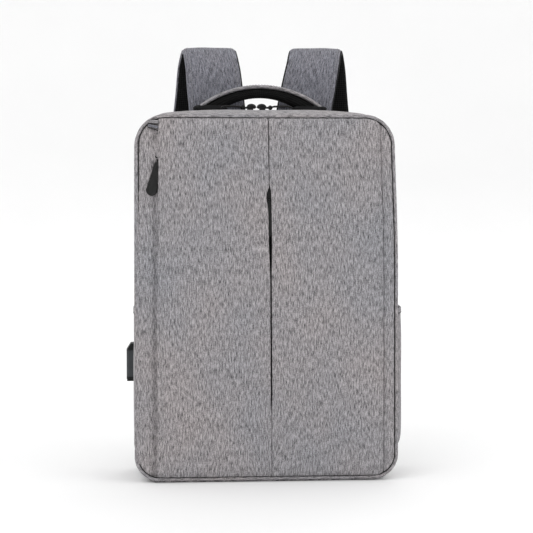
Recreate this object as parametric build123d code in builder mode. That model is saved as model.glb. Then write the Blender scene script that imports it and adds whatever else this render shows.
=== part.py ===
from build123d import *

import os

# Laptop backpack with a charging socket on its side. It stands on its base: X runs across it, Y runs
# from its front to the wearer's back and Z is up. The origin is the middle of the base.
# The front half of the bag is a cover. With the main zip open, it swings down like a tailgate about
# the welt that runs along the bottom of the front panel.

os.makedirs("parts", exist_ok=True)

# ---------------------------------------------------------------- driving dimensions, in millimetres
BODY_HALF_WIDTH = 143.5
BODY_HEIGHT = 420.0
TOP_RADIUS = 32.0
BOTTOM_RADIUS = 26.0
WALL = 3.0  # two layers of cloth with foam between them
SHOULDER_Y = 36.0  # from here the top slopes down to the welts
SHOULDER_DROP = 8.0
WALL_END_Y = 51.7  # where the body wall meets a welt

WELT_Y = 54.0  # the two welts lie this far before and behind the middle
WELT_RADIUS = 2.0
WELT_HALF_WIDTH = 144.6
WELT_BOTTOM = 4.0
WELT_TOP = 411.0
WELT_ROOM = WELT_RADIUS + 0.2  # from a welt's centre line to the panel inside it

MAIN_ZIP_Y = 6.0
TAPE_WIDTH = 6.0
TAPE_SINK = 0.8  # how far the tape lies below the cloth beside it
TAPE_THICKNESS = 1.4
COIL_WIDTH = 1.25
COIL_RISE = 0.6  # above the cloth
BODY_GAP = 0.15  # half the space between the two halves of the main zip
PAN_TOP = 22.0  # the fixed base reaches this far up
LOW_ZIP_Z = 27.0  # the main zip's ends turn forward at this height
TOP_PIECE_Z = 370.0  # above this the wall is one piece with both top corners

FRONT_FACE_Y = -61.5
FLAP_THICKNESS = 1.3
PANEL_EDGE_Y = -56.5  # the front panels slope down to this depth at the welt
PANEL_SLOPE = 11.0  # the width of that slope
BACKING_Y = -53.2  # the flat back of everything on the front
LINING_THICKNESS = 1.1
STRIP_EDGE_Y = -55.5
LEFT_STRIP_Y = -57.2
RIGHT_STRIP_Y = -59.6
FLAP_EDGE_X = -121.3
CENTRE_SEAM_X = 4.2
RIGHT_SEAM_X = 129.8
SEAM_GAP = 0.1
FRONT_ZIP_X = -119.5
FRONT_TAPE_WIDTH = 13.0
FRONT_ZIP_LOW = 16.0
FRONT_ZIP_HIGH = 396.0
ZIP_BED_Y = -55.0
COIL_HEIGHT = 1.4
ZIP_ROOM = 10.8  # half the hollow under the centre flaps
SLIT_LOW = 75.0
SLIT_HIGH = 332.0
SLIT_HALF_WIDTH = 1.2
HOLLOW_LOW = SLIT_LOW - 6
HOLLOW_HIGH = SLIT_HIGH + 8

SLIDER_LENGTH = 11.0
SLIDER_WIDTH = 8.6
SLIDER_FLOOR = 0.3  # a slider rides this far above its tape
SLIDER_TOP = 4.0
CHANNEL_TOP = 1.8
CHANNEL_WIDTH = 5.6
PIN_REACH = 8.6  # from a slider's middle to the pin of its pull
PIN_RADIUS = 1.3
PIN_CLEARANCE = 0.06
EYE_RADIUS = 2.7
PULL_LENGTH = 33.0
PULL_START = 9.0
PULL_TOP_RADIUS = 4.2
PULL_END_RADIUS = 6.3
PULL_THICKNESS = 2.2
NECK_WIDTH = 4.4
PULL_LEAN = -14.0  # degrees, of the front pocket's pull
FRONT_SLIDER_Z = 369.6
CENTRE_SLIDER_Z = 325.0

MAIN_MEET_X = -6.0  # the two main sliders meet here
MAIN_SLIDER_X = -13.0
MAIN_PLATE_LOW = 2.2  # the main sliders' plates pass over the coil
MAIN_PLATE_TOP = 4.4
MAIN_PIN_HEIGHT = 3.4
MAIN_PIN_RADIUS = 1.0
MAIN_EYE_RADIUS = 1.7
MAIN_PIN_REACH = 8.0
MAIN_PULL_LENGTH = 20.0
MAIN_PULL_END_RADIUS = 5.3

POCKET_LOW = 36.0
POCKET_HIGH = 196.0
POCKET_OUT = 150.3
POCKET_FRONT_Y = -51.0
POCKET_BACK_Y = -1.0
POCKET_SLOPE = 6.0
CLOTH = 1.3

BACK_FRONT_Y = 51.9
BACK_Y = 57.0
PAD_Y = 61.0
BOARD_THICKNESS = 2.0
DIVIDER_Y = 27.0
DIVIDER_THICKNESS = 6.0
DIVIDER_HALF_WIDTH = 124.0
DIVIDER_TOP = 330.0

PORT_LOW = 109.0
PORT_TOP = 150.5
PORT_OUT = 156.0
PORT_Y = 30.0
PORT_WIDTH = 20.0
SOCKET_WIDTH = 13.1
SOCKET_HEIGHT = 5.7
SOCKET_DEPTH = 15.0
SOCKET_WALL = 0.5
TONGUE_START = 6.0  # how deep the contact tongue begins

HANDLE_Y = 35.0
HANDLE_WIDTH = 22.0
HANDLE_BASE_Z = 424.0
HANDLE_TOP_Z = 452.0
HANDLE_HALF_SPAN = 77.0
HANDLE_COVER = 4.0
GRIP_HALF_SPAN = 39.0
GRIP_TOP_Z = 437.0

STRAP_HINGE_Y = 64.0
STRAP_HINGE_Z = 400.0
STRAP_THICKNESS = 9.0
STRAP_SKIN = 1.0
STRAP_WIDTH = 65.0
STRAP_END_WIDTH = 44.0
STRAP_STATIONS = 45
WEBBING_WIDTH = 25.0
WEBBING_THICKNESS = 1.6
LOCK_WIDTH = 36.0
LOCK_BAR = 4.8
LOCK_THICKNESS = 4.0
LOCK_START = 19.2  # from the strap's end to the lock's first bar
LOOP_LENGTH = 26.7

# The middle of the right shoulder strap, from its seam over the arch to its lower end.
STRAP_ROUTE = [
    (52, STRAP_HINGE_Y, STRAP_HINGE_Z),
    (56, 64.5, 440),
    (60, 69, 474),
    (65, 86, 492),
    (69.5, 104, 478),
    (73, 112, 440),
    (85, 113, 330),
    (92, 104, 230),
    (98, 96, 170),
]


# ------------------------------------------------------------------------------- shared construction
def at_depth(y):
    """A sketch plane that faces the front, at depth y. Extruding from it goes forward."""
    return Plane.XZ.offset(-y)


def outline(half_width, bottom, top, top_radius, bottom_radius):
    """A rounded outline as it is seen from the front."""
    with BuildSketch() as face:
        with Locations((0, (bottom + top) / 2)):
            Rectangle(2 * half_width, top - bottom)
        fillet(face.vertices().group_by(Axis.Y)[-1], top_radius)
        fillet(face.vertices().group_by(Axis.Y)[0], bottom_radius)
    return face.sketch


def body_outline(inset, drop=0.0):
    """The outline of the body wall, drawn in by inset, with its top lowered by drop."""
    return outline(
        BODY_HALF_WIDTH - inset,
        inset,
        BODY_HEIGHT - drop - inset,
        TOP_RADIUS - inset,
        BOTTOM_RADIUS - inset,
    )


def panel_outline(inset):
    """The outline of a flat panel inside a welt, drawn in by inset."""
    edge = WELT_ROOM + inset
    return outline(
        WELT_HALF_WIDTH - edge,
        WELT_BOTTOM + edge,
        WELT_TOP - edge,
        TOP_RADIUS - edge,
        BOTTOM_RADIUS - edge,
    )


def box_between(low, high, mode=Mode.ADD):
    """A box from its lowest to its highest corner, in the part that is open."""
    with Locations([tuple((a + b) / 2 for a, b in zip(low, high))]):
        Box(*(b - a for a, b in zip(low, high)), mode=mode)


def plate(outline_sketch, y_front, y_back):
    """A flat plate of this outline that faces the front."""
    with BuildPart() as flat:
        with BuildSketch(at_depth(y_back)):
            add(outline_sketch)
        extrude(amount=y_back - y_front)
    return flat


def rounded_plate(x, z, width, height, radius, y_front, y_back):
    """A flat rounded plate with its middle at x and z."""
    with BuildSketch() as face:
        with Locations((x, z)):
            RectangleRounded(width, height, radius)
    return plate(face.sketch, y_front, y_back)


def save(piece, name):
    """Labels a finished piece and writes its STEP file."""
    piece.part.label = name
    export_step(piece.part, f"parts/{name}.step")


def save_pair(piece, name, mirror_plane=Plane.YZ):
    """Saves a right-hand piece and its mirror image, the left-hand one."""
    save(piece, f"{name}_right")
    with BuildPart() as other:
        mirror(piece.part, about=mirror_plane)
    save(other, f"{name}_left")


# ---------------------------------------------------------------------------------- body wall pieces
def block(inset):
    """The bag's body from welt to welt as one closed block, drawn in by inset."""
    with BuildPart() as body:
        with BuildSketch(at_depth(SHOULDER_Y)):
            add(body_outline(inset))
        extrude(amount=2 * SHOULDER_Y)
        for side in (-1, 1):
            with BuildSketch(at_depth(side * SHOULDER_Y)):
                add(body_outline(inset))
            with BuildSketch(at_depth(side * WALL_END_Y)):
                add(body_outline(inset, SHOULDER_DROP))
            loft()
    return body.part


with BuildPart() as body_wall:
    add(block(0))
    add(block(WALL), mode=Mode.SUBTRACT)

FAR = 600.0  # beyond the bag in any direction
FRONT_WALL_END = MAIN_ZIP_Y - TAPE_WIDTH
REAR_WALL_START = MAIN_ZIP_Y + TAPE_WIDTH
FRONT_WALL_LOW = LOW_ZIP_Z + TAPE_WIDTH
WALL_PIECES = {
    "bottom_panel": ((-FAR, -FAR, -1), (FAR, FAR, PAN_TOP)),
    "rear_wall_left": ((-FAR, REAR_WALL_START, PAN_TOP), (0, FAR, TOP_PIECE_Z)),
    "rear_wall_right": ((0, REAR_WALL_START, PAN_TOP), (FAR, FAR, TOP_PIECE_Z)),
    "rear_wall_top": ((-FAR, REAR_WALL_START, TOP_PIECE_Z), (FAR, FAR, FAR)),
    "front_wall_left": ((-FAR, -FAR, FRONT_WALL_LOW), (0, FRONT_WALL_END, TOP_PIECE_Z)),
    "front_wall_right": ((0, -FAR, FRONT_WALL_LOW), (FAR, FRONT_WALL_END, TOP_PIECE_Z)),
    "front_wall_top": ((-FAR, -FAR, TOP_PIECE_Z), (FAR, FRONT_WALL_END, FAR)),
}
for name, (low, high) in WALL_PIECES.items():
    with BuildPart() as wall_piece:
        add(body_wall.part)
        box_between(low, high, Mode.INTERSECT)
    save(wall_piece, name)


# ------------------------------------------------------------------------------------------ main zip
def zip_arch(y_low, y_high, coil_low, coil_high, z_low):
    """Half of the main zip over the top and down both sides: a flat tape with a raised coil."""
    with BuildPart() as arch:
        for y_from, y_to, outer_inset in (
            (y_low, y_high, TAPE_SINK),
            (coil_low, coil_high, -COIL_RISE),
        ):
            with BuildSketch(at_depth(y_to)):
                add(body_outline(outer_inset))
                add(body_outline(TAPE_SINK + TAPE_THICKNESS), mode=Mode.SUBTRACT)
            extrude(amount=y_to - y_from)
        box_between((-FAR, -FAR, z_low), (FAR, FAR, FAR), Mode.INTERSECT)
    return arch.part


def low_zip(side, z_low, z_high, coil_low, coil_high, y_high):
    """The stretch of the main zip that runs forward above the base, on one side."""
    tape_x = BODY_HALF_WIDTH - TAPE_SINK
    with BuildPart() as strip:
        for z_from, z_to, outer_x in (
            (z_low, z_high, tape_x),
            (coil_low, coil_high, BODY_HALF_WIDTH + COIL_RISE),
        ):
            near_x, far_x = sorted((side * (tape_x - TAPE_THICKNESS), side * outer_x))
            box_between((near_x, -WALL_END_Y, z_from), (far_x, y_high, z_to))
    return strip.part


front_end = MAIN_ZIP_Y - BODY_GAP
front_low = LOW_ZIP_Z + BODY_GAP
with BuildPart() as main_zip_front_half:
    add(zip_arch(FRONT_WALL_END, front_end, front_end - COIL_WIDTH, front_end, front_low))
    for side in (-1, 1):
        add(low_zip(side, front_low, FRONT_WALL_LOW, front_low, front_low + COIL_WIDTH, FRONT_WALL_END))
save(main_zip_front_half, "main_zip_front_half")

rear_start = MAIN_ZIP_Y + BODY_GAP
rear_high = LOW_ZIP_Z - BODY_GAP
with BuildPart() as main_zip_rear_half:
    add(zip_arch(rear_start, REAR_WALL_START, rear_start, rear_start + COIL_WIDTH, PAN_TOP))
    for side in (-1, 1):
        add(low_zip(side, PAN_TOP, rear_high, rear_high - COIL_WIDTH, rear_high, rear_start))
save(main_zip_rear_half, "main_zip_rear_half")


# --------------------------------------------------------------------------------------------- welts
for name, depth in (("front_welt", -WELT_Y), ("rear_welt", WELT_Y)):
    with BuildSketch(at_depth(depth)) as welt_line:
        add(outline(WELT_HALF_WIDTH, WELT_BOTTOM, WELT_TOP, TOP_RADIUS, BOTTOM_RADIUS))
    with BuildPart() as welt:
        with BuildSketch(Plane.YZ):
            with Locations((depth, WELT_BOTTOM)):
                Circle(WELT_RADIUS)
        sweep(path=welt_line.sketch.wires()[0])
    save(welt, name)


# -------------------------------------------------------------------------------------- front panels
with BuildPart() as front_room:
    with BuildSketch(at_depth(BACKING_Y)):
        add(panel_outline(0))
    extrude(amount=BACKING_Y - PANEL_EDGE_Y)
    with BuildSketch(at_depth(PANEL_EDGE_Y)):
        add(panel_outline(0))
    with BuildSketch(at_depth(FRONT_FACE_Y)):
        add(panel_outline(PANEL_SLOPE))
    loft()


def front_piece(corners, cuts=()):
    """A front panel with this section, seen from above, trimmed to the room inside the welt."""
    with BuildPart() as piece:
        with BuildSketch(Plane.XY):
            Polygon(*corners, align=None)
        extrude(amount=WELT_TOP)
        for low, high in cuts:
            box_between(low, high, Mode.SUBTRACT)
        add(front_room.part, mode=Mode.INTERSECT)
    return piece


FLAP_Y = FRONT_FACE_Y + FLAP_THICKNESS
PANEL_SIDE_X = WELT_HALF_WIDTH - WELT_ROOM
FLAP_ROOT_X = FRONT_ZIP_X + 7.6  # the hollow under the front pocket's flap ends here
STRIP_INNER_X = FRONT_ZIP_X - FRONT_TAPE_WIDTH / 2
left_of_seam = CENTRE_SEAM_X - SEAM_GAP
right_of_seam = CENTRE_SEAM_X + SEAM_GAP

front_panel_left = front_piece(
    [
        (FLAP_EDGE_X, FRONT_FACE_Y),
        (left_of_seam, FRONT_FACE_Y),
        (left_of_seam, BACKING_Y),
        (FLAP_ROOT_X, BACKING_Y),
        (FLAP_ROOT_X, FLAP_Y),
        (FLAP_EDGE_X, FLAP_Y),
    ],
    cuts=[
        ((CENTRE_SEAM_X - ZIP_ROOM, FLAP_Y, HOLLOW_LOW), (CENTRE_SEAM_X, 0, HOLLOW_HIGH)),
        ((CENTRE_SEAM_X - SLIT_HALF_WIDTH, -FAR, SLIT_LOW), (CENTRE_SEAM_X, 0, SLIT_HIGH)),
    ],
)
save(front_panel_left, "front_panel_left")

front_panel_right = front_piece(
    [
        (right_of_seam, FRONT_FACE_Y),
        (RIGHT_SEAM_X - 3, FRONT_FACE_Y),
        (RIGHT_SEAM_X - SEAM_GAP, RIGHT_STRIP_Y),
        (RIGHT_SEAM_X - SEAM_GAP, BACKING_Y),
        (right_of_seam, BACKING_Y),
    ],
    cuts=[
        ((CENTRE_SEAM_X, FLAP_Y, HOLLOW_LOW), (CENTRE_SEAM_X + ZIP_ROOM, 0, HOLLOW_HIGH)),
        ((CENTRE_SEAM_X, -FAR, SLIT_LOW), (CENTRE_SEAM_X + SLIT_HALF_WIDTH, 0, SLIT_HIGH)),
    ],
)
save(front_panel_right, "front_panel_right")

front_strip_left = front_piece(
    [
        (-PANEL_SIDE_X, STRIP_EDGE_Y),
        (STRIP_INNER_X, LEFT_STRIP_Y),
        (STRIP_INNER_X, BACKING_Y),
        (-PANEL_SIDE_X, BACKING_Y),
    ]
)
save(front_strip_left, "front_strip_left")

front_strip_right = front_piece(
    [
        (RIGHT_SEAM_X + SEAM_GAP, RIGHT_STRIP_Y),
        (PANEL_SIDE_X, STRIP_EDGE_Y),
        (PANEL_SIDE_X, BACKING_Y),
        (RIGHT_SEAM_X + SEAM_GAP, BACKING_Y),
    ]
)
save(front_strip_right, "front_strip_right")

LINING_BACK_Y = BACKING_Y + LINING_THICKNESS
save(plate(panel_outline(SEAM_GAP), BACKING_Y, LINING_BACK_Y), "front_lining")
save(rounded_plate(0, 180, 220, 240, 12, LINING_BACK_Y, LINING_BACK_Y + 2), "organiser_panel")


# ---------------------------------------------------------------------------------- front zip tapes
def front_zip(x, width, low, high):
    """A straight zip on the front: a flat tape with a raised coil along its middle."""
    with BuildPart() as tape:
        box_between((x - width / 2, ZIP_BED_Y, low), (x + width / 2, BACKING_Y, high))
        coil_front = ZIP_BED_Y - COIL_HEIGHT
        box_between((x - COIL_WIDTH, coil_front, low), (x + COIL_WIDTH, ZIP_BED_Y, high))
    return tape


centre_tape_width = 2 * (ZIP_ROOM - SEAM_GAP)
save(front_zip(FRONT_ZIP_X, FRONT_TAPE_WIDTH, FRONT_ZIP_LOW, FRONT_ZIP_HIGH), "front_zip_tape")
save(front_zip(CENTRE_SEAM_X, centre_tape_width, HOLLOW_LOW, HOLLOW_HIGH), "centre_zip_tape")


# ------------------------------------------------------------------------- sliders and their pulls
def paddle(length, end_radius):
    """A pull's outline, hanging towards -y from its pin: a narrow neck and a rounded paddle."""
    with BuildSketch() as shape:
        with Locations((0, -PULL_START)):
            Circle(PULL_TOP_RADIUS)
        with Locations((0, -length)):
            Circle(end_radius)
        make_hull()
        with Locations((0, -PULL_START / 2)):
            Rectangle(NECK_WIDTH, PULL_START)
    return shape.sketch


def swivel_pair(x, z, lean, slider_name, pull_name):
    """A front slider, with a pin that stands out from the bag, and the pull that swivels on it."""
    tape_plane = Plane((x, ZIP_BED_Y, z), x_dir=(1, 0, 0), z_dir=(0, -1, 0))
    arm_thickness = 0.8
    pull_back = CHANNEL_TOP + arm_thickness + SEAM_GAP
    with BuildPart() as slider:
        with BuildSketch(tape_plane.offset(SLIDER_FLOOR)):
            RectangleRounded(SLIDER_WIDTH, SLIDER_LENGTH, 2)
        extrude(amount=SLIDER_TOP - SLIDER_FLOOR)
        with BuildSketch(tape_plane):
            Rectangle(CHANNEL_WIDTH, SLIDER_LENGTH + 1)
        extrude(amount=CHANNEL_TOP, mode=Mode.SUBTRACT)
        with BuildSketch(tape_plane.offset(CHANNEL_TOP)):
            with Locations((0, 1.6 - PIN_REACH)):
                Rectangle(5, 6)
        extrude(amount=arm_thickness)
        with BuildSketch(tape_plane.offset(CHANNEL_TOP)):
            with Locations((0, -PIN_REACH)):
                Circle(PIN_RADIUS)
        extrude(amount=arm_thickness + SEAM_GAP + PULL_THICKNESS)
    save(slider, slider_name)

    pin_plane = Plane((x, ZIP_BED_Y, z - PIN_REACH), x_dir=(1, 0, 0), z_dir=(0, -1, 0))
    with BuildPart() as pull:
        with BuildSketch(pin_plane.offset(pull_back)):
            add(paddle(PULL_LENGTH, PULL_END_RADIUS), rotation=lean)
            Circle(EYE_RADIUS)
            Circle(PIN_RADIUS + PIN_CLEARANCE, mode=Mode.SUBTRACT)
        extrude(amount=PULL_THICKNESS)
    save(pull, pull_name)


swivel_pair(FRONT_ZIP_X, FRONT_SLIDER_Z, PULL_LEAN, "front_slider", "front_pull")
swivel_pair(CENTRE_SEAM_X, CENTRE_SLIDER_Z, 0, "centre_slider", "centre_pull")

# The left main slider lies on the top of the bag with its pull towards -X.
MAIN_PLANE = Plane(
    (MAIN_SLIDER_X, MAIN_ZIP_Y, BODY_HEIGHT - TAPE_SINK), x_dir=(0, -1, 0), z_dir=(0, 0, 1)
)
MAIN_PIN_PLANE = Plane(
    MAIN_PLANE.from_local_coords((0, -MAIN_PIN_REACH, MAIN_PIN_HEIGHT)),
    x_dir=(-1, 0, 0),
    z_dir=(0, -1, 0),
)
ARM_X = 3.3
ARM_WIDTH = 1.0
with BuildPart() as main_slider:
    with BuildSketch(MAIN_PLANE.offset(MAIN_PLATE_LOW)):
        RectangleRounded(SLIDER_WIDTH, SLIDER_LENGTH, 2)
        for side in (-1, 1):
            with Locations((side * (ARM_X + ARM_WIDTH / 2), -MAIN_PIN_REACH + 1.5)):
                Rectangle(ARM_WIDTH, 6)
    extrude(amount=MAIN_PLATE_TOP - MAIN_PLATE_LOW)
    with BuildSketch(MAIN_PLANE.offset(SLIDER_FLOOR)):
        with Locations((-3.2, 0)):
            Rectangle(2.2, 7)
    extrude(amount=MAIN_PLATE_LOW - SLIDER_FLOOR)
    with BuildSketch(MAIN_PIN_PLANE):
        Circle(MAIN_PIN_RADIUS)
    extrude(amount=ARM_X + ARM_WIDTH / 2, both=True)

with BuildPart() as main_pull:
    pin_level = MAIN_PLANE.offset(MAIN_PIN_HEIGHT - PULL_THICKNESS / 2)
    with BuildSketch(Plane(pin_level.from_local_coords((0, -MAIN_PIN_REACH, 0)), x_dir=(0, -1, 0))):
        add(paddle(MAIN_PULL_LENGTH, MAIN_PULL_END_RADIUS))
    extrude(amount=PULL_THICKNESS)
    with BuildSketch(MAIN_PIN_PLANE):
        Circle(MAIN_EYE_RADIUS)
    extrude(amount=NECK_WIDTH / 2, both=True)
    with BuildSketch(MAIN_PIN_PLANE):
        Circle(MAIN_PIN_RADIUS + PIN_CLEARANCE)
    extrude(amount=NECK_WIDTH, both=True, mode=Mode.SUBTRACT)

for piece, name in ((main_slider, "main_slider"), (main_pull, "main_pull")):
    save(piece, f"{name}_left")
    with BuildPart() as right_hand:
        mirror(piece.part, about=Plane.YZ.offset(MAIN_MEET_X))
    save(right_hand, f"{name}_right")


# ---------------------------------------------------------------------------------------- side pockets
def pocket_block(inset, low):
    """The space inside a side pocket's cloth, drawn in by inset: flat ends and a bulging side."""
    with BuildPart() as room:
        with BuildSketch(Plane.XY.offset(low)) as section:
            Polygon(
                (BODY_HALF_WIDTH, POCKET_FRONT_Y + inset),
                (POCKET_OUT - inset, POCKET_FRONT_Y + POCKET_SLOPE + inset / 2),
                (POCKET_OUT - inset, POCKET_BACK_Y - POCKET_SLOPE - inset / 2),
                (BODY_HALF_WIDTH, POCKET_BACK_Y - inset),
                align=None,
            )
            fillet(section.vertices().group_by(Axis.X)[-1], 4)
        extrude(amount=POCKET_HIGH - low)
    return room.part


with BuildPart() as side_pocket:
    add(pocket_block(0, POCKET_LOW))
    add(pocket_block(CLOTH, POCKET_LOW + CLOTH), mode=Mode.SUBTRACT)
save_pair(side_pocket, "side_pocket")


# ----------------------------------------------------------------------------------- back and inside
save(plate(panel_outline(0), BACK_FRONT_Y, BACK_Y), "back_panel")
stiffener_back = BACK_FRONT_Y - 0.4
save(rounded_plate(0, 205, 264, 380, 20, stiffener_back - BOARD_THICKNESS, stiffener_back), "back_stiffener")
save_pair(rounded_plate(60, 286, 92, 178, 18, BACK_Y, PAD_Y), "back_pad")
save(rounded_plate(0, 68, 206, 64, 18, BACK_Y, PAD_Y), "lumbar_pad")
save(rounded_plate(0, 389, 200, 22, 4, BACK_Y, BACK_Y + CLOTH), "strap_yoke")

with BuildPart() as base_board:
    with BuildSketch(Plane.XY.offset(WALL)):
        with Locations((0, 1)):
            RectangleRounded(230, 92, 6)
    extrude(amount=BOARD_THICKNESS)
save(base_board, "base_board")

with BuildPart() as laptop_divider:
    box_between(
        (-DIVIDER_HALF_WIDTH, DIVIDER_Y, WALL + BOARD_THICKNESS),
        (DIVIDER_HALF_WIDTH, DIVIDER_Y + DIVIDER_THICKNESS, DIVIDER_TOP),
    )
    fillet(laptop_divider.edges().filter_by(Axis.Y).group_by(Axis.Z)[-1], 20)
save(laptop_divider, "laptop_divider")

with BuildPart() as power_bank_pocket:
    pocket_low = (-118, DIVIDER_Y - 17.5, 110)
    pocket_high = (-36, DIVIDER_Y, 225)
    box_between(pocket_low, pocket_high)
    box_between(
        tuple(value + CLOTH for value in pocket_low),
        (pocket_high[0] - CLOTH, DIVIDER_Y, pocket_high[2]),
        Mode.SUBTRACT,
    )
save(power_bank_pocket, "power_bank_pocket")

BAND_RISE = 11.0  # the luggage band stands this far off the back
BAND_HALF_WIDTH = 130.0
BAND_FLAT = 112.0
BAND_LOW = 115.0
BAND_HIGH = 175.0
with BuildPart() as luggage_strap:
    with BuildSketch(Plane.XY.offset(BAND_LOW)):
        Polygon(
            (-BAND_HALF_WIDTH, BACK_Y),
            (-BAND_FLAT, BACK_Y + BAND_RISE + WEBBING_THICKNESS),
            (BAND_FLAT, BACK_Y + BAND_RISE + WEBBING_THICKNESS),
            (BAND_HALF_WIDTH, BACK_Y),
            (BAND_HALF_WIDTH - 2.6, BACK_Y),
            (BAND_FLAT - 0.8, BACK_Y + BAND_RISE),
            (0.8 - BAND_FLAT, BACK_Y + BAND_RISE),
            (2.6 - BAND_HALF_WIDTH, BACK_Y),
            align=None,
        )
    extrude(amount=BAND_HIGH - BAND_LOW)
save(luggage_strap, "luggage_strap")


# ------------------------------------------------------------------------------------- charging port
PORT_X = -(BODY_HALF_WIDTH + PORT_OUT) / 2
with BuildPart() as usb_housing:
    with BuildSketch(at_depth(PORT_Y + PORT_WIDTH / 2)):
        Polygon(
            (-BODY_HALF_WIDTH, PORT_LOW),
            (-PORT_OUT, PORT_LOW),
            (-PORT_OUT, PORT_TOP - 8),
            (5 - PORT_OUT, PORT_TOP),
            (-BODY_HALF_WIDTH, PORT_TOP),
            align=None,
        )
    extrude(amount=PORT_WIDTH)
    fillet(usb_housing.edges().filter_by(Axis.Z).group_by(Axis.X)[0], 3)
    with BuildSketch(Plane.XY.offset(PORT_LOW)):
        with Locations((PORT_X, PORT_Y)):
            Rectangle(SOCKET_HEIGHT + 2 * SEAM_GAP, SOCKET_WIDTH + 2 * SEAM_GAP)
    extrude(amount=SOCKET_DEPTH, mode=Mode.SUBTRACT)
save(usb_housing, "usb_housing")

with BuildPart() as usb_socket:
    with BuildSketch(Plane.XY.offset(PORT_LOW + SEAM_GAP)):
        with Locations((PORT_X, PORT_Y)):
            Rectangle(SOCKET_HEIGHT, SOCKET_WIDTH)
            Rectangle(SOCKET_HEIGHT - 2 * SOCKET_WALL, SOCKET_WIDTH - 2 * SOCKET_WALL, mode=Mode.SUBTRACT)
    extrude(amount=SOCKET_DEPTH - SEAM_GAP)
    with BuildSketch(Plane.XY.offset(PORT_LOW + SOCKET_DEPTH)):
        with Locations((PORT_X, PORT_Y)):
            Rectangle(SOCKET_HEIGHT, SOCKET_WIDTH)
    extrude(amount=-SOCKET_WALL)
    with BuildSketch(Plane.XY.offset(PORT_LOW + TONGUE_START)):
        with Locations((PORT_X - 0.6, PORT_Y)):
            Rectangle(1.8, 11)
    extrude(amount=SOCKET_DEPTH - TONGUE_START)
save(usb_socket, "usb_socket")

COVER_THICKNESS = 2.2
with BuildPart() as usb_cover:
    box_between(
        (0.5 - PORT_OUT, PORT_Y - PORT_WIDTH / 2 + 0.5, PORT_LOW - 0.2 - COVER_THICKNESS),
        (-BODY_HALF_WIDTH - 0.8, PORT_Y + PORT_WIDTH / 2 - 0.5, PORT_LOW - 0.2),
    )
    fillet(usb_cover.edges().filter_by(Axis.Z), 1.5)
save(usb_cover, "usb_cover")


# -------------------------------------------------------------------------------------------- handle
def arch_face(outer_half, outer_top, inner_half, inner_top):
    """The face between two arcs that spring from the handle's base line."""
    with BuildSketch() as face:
        with BuildLine():
            ThreePointArc((-outer_half, HANDLE_BASE_Z), (0, outer_top), (outer_half, HANDLE_BASE_Z))
            Line((outer_half, HANDLE_BASE_Z), (inner_half, HANDLE_BASE_Z))
            ThreePointArc((inner_half, HANDLE_BASE_Z), (0, inner_top), (-inner_half, HANDLE_BASE_Z))
            Line((-inner_half, HANDLE_BASE_Z), (-outer_half, HANDLE_BASE_Z))
        make_face()
    return face.sketch


handle_front = HANDLE_Y - HANDLE_WIDTH / 2
handle_back = HANDLE_Y + HANDLE_WIDTH / 2
cover_half = HANDLE_HALF_SPAN - 2 * HANDLE_COVER
cover_top = HANDLE_TOP_Z - HANDLE_COVER
cover_face = arch_face(HANDLE_HALF_SPAN, HANDLE_TOP_Z, cover_half, cover_top)
pad_face = arch_face(cover_half, cover_top, GRIP_HALF_SPAN, GRIP_TOP_Z)
save(plate(cover_face, handle_front, handle_back), "handle_cover")
save(plate(pad_face, handle_front, handle_back), "handle_pad")

with BuildPart() as handle_anchors:
    with BuildSketch(Plane.XY.offset(BODY_HEIGHT)):
        for side in (-1, 1):
            with Locations((side * (HANDLE_HALF_SPAN + 8), HANDLE_Y - 5)):
                Rectangle(15, 11)
    extrude(amount=WEBBING_THICKNESS)
save(handle_anchors, "handle_anchors")


# ------------------------------------------------------------------------------------ shoulder straps
def cross_plane(line, where):
    """The plane across a band at this fraction of its route. Its y axis points to the band's inside."""
    along = line % where
    return Plane(line @ where, x_dir=(1, 0, 0), z_dir=(0, along.Y, along.Z))


def band(line, width_at, inner, outer, stations):
    """A flat band along a route: width_at gives its width, and it lies between these two offsets."""
    with BuildPart() as strip:
        for index in range(stations):
            where = index / (stations - 1)
            with BuildSketch(cross_plane(line, where)):
                with Locations((0, -(inner + outer) / 2)):
                    Rectangle(width_at(where), outer - inner)
        loft(ruled=True)
    return strip


def strap_width(where):
    """The shoulder strap is wide over the shoulder and narrows over its last third."""
    narrowing = max(0.0, (where - 0.65) / 0.35)
    return STRAP_WIDTH + (STRAP_END_WIDTH - STRAP_WIDTH) * narrowing


def webbing_width(_where):
    """Webbing is as wide all along."""
    return WEBBING_WIDTH


with BuildLine() as strap_line:
    Spline(*STRAP_ROUTE)

half_thickness = STRAP_THICKNESS / 2
foam_half = half_thickness - STRAP_SKIN
STRAP_LAYERS = {
    "strap_cover": (foam_half, half_thickness),
    "strap_foam": (-foam_half, foam_half),
    "strap_mesh": (-half_thickness, -foam_half),
}
for name, (inner, outer) in STRAP_LAYERS.items():
    save_pair(band(strap_line.line, strap_width, inner, outer, STRAP_STATIONS), name)

# Below the strap's end everything is placed along the strap's last direction and its outward normal.
strap_end = cross_plane(strap_line.line, 1)
down = strap_end.z_dir
out = -strap_end.y_dir
side_plane = Plane(strap_end.origin, x_dir=down, z_dir=(1, 0, 0))
face_plane = Plane(strap_end.origin, x_dir=(1, 0, 0), z_dir=out)

with BuildPart() as strap_end_loop:
    with BuildSketch(side_plane):
        with Locations((LOOP_LENGTH / 2, 0)):
            RectangleRounded(LOOP_LENGTH, 7.8, 3.8)
            RectangleRounded(LOOP_LENGTH - 2 * WEBBING_THICKNESS, 4.6, 2.2, mode=Mode.SUBTRACT)
    extrude(amount=WEBBING_WIDTH / 2, both=True)
save_pair(strap_end_loop, "strap_end_loop")

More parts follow.
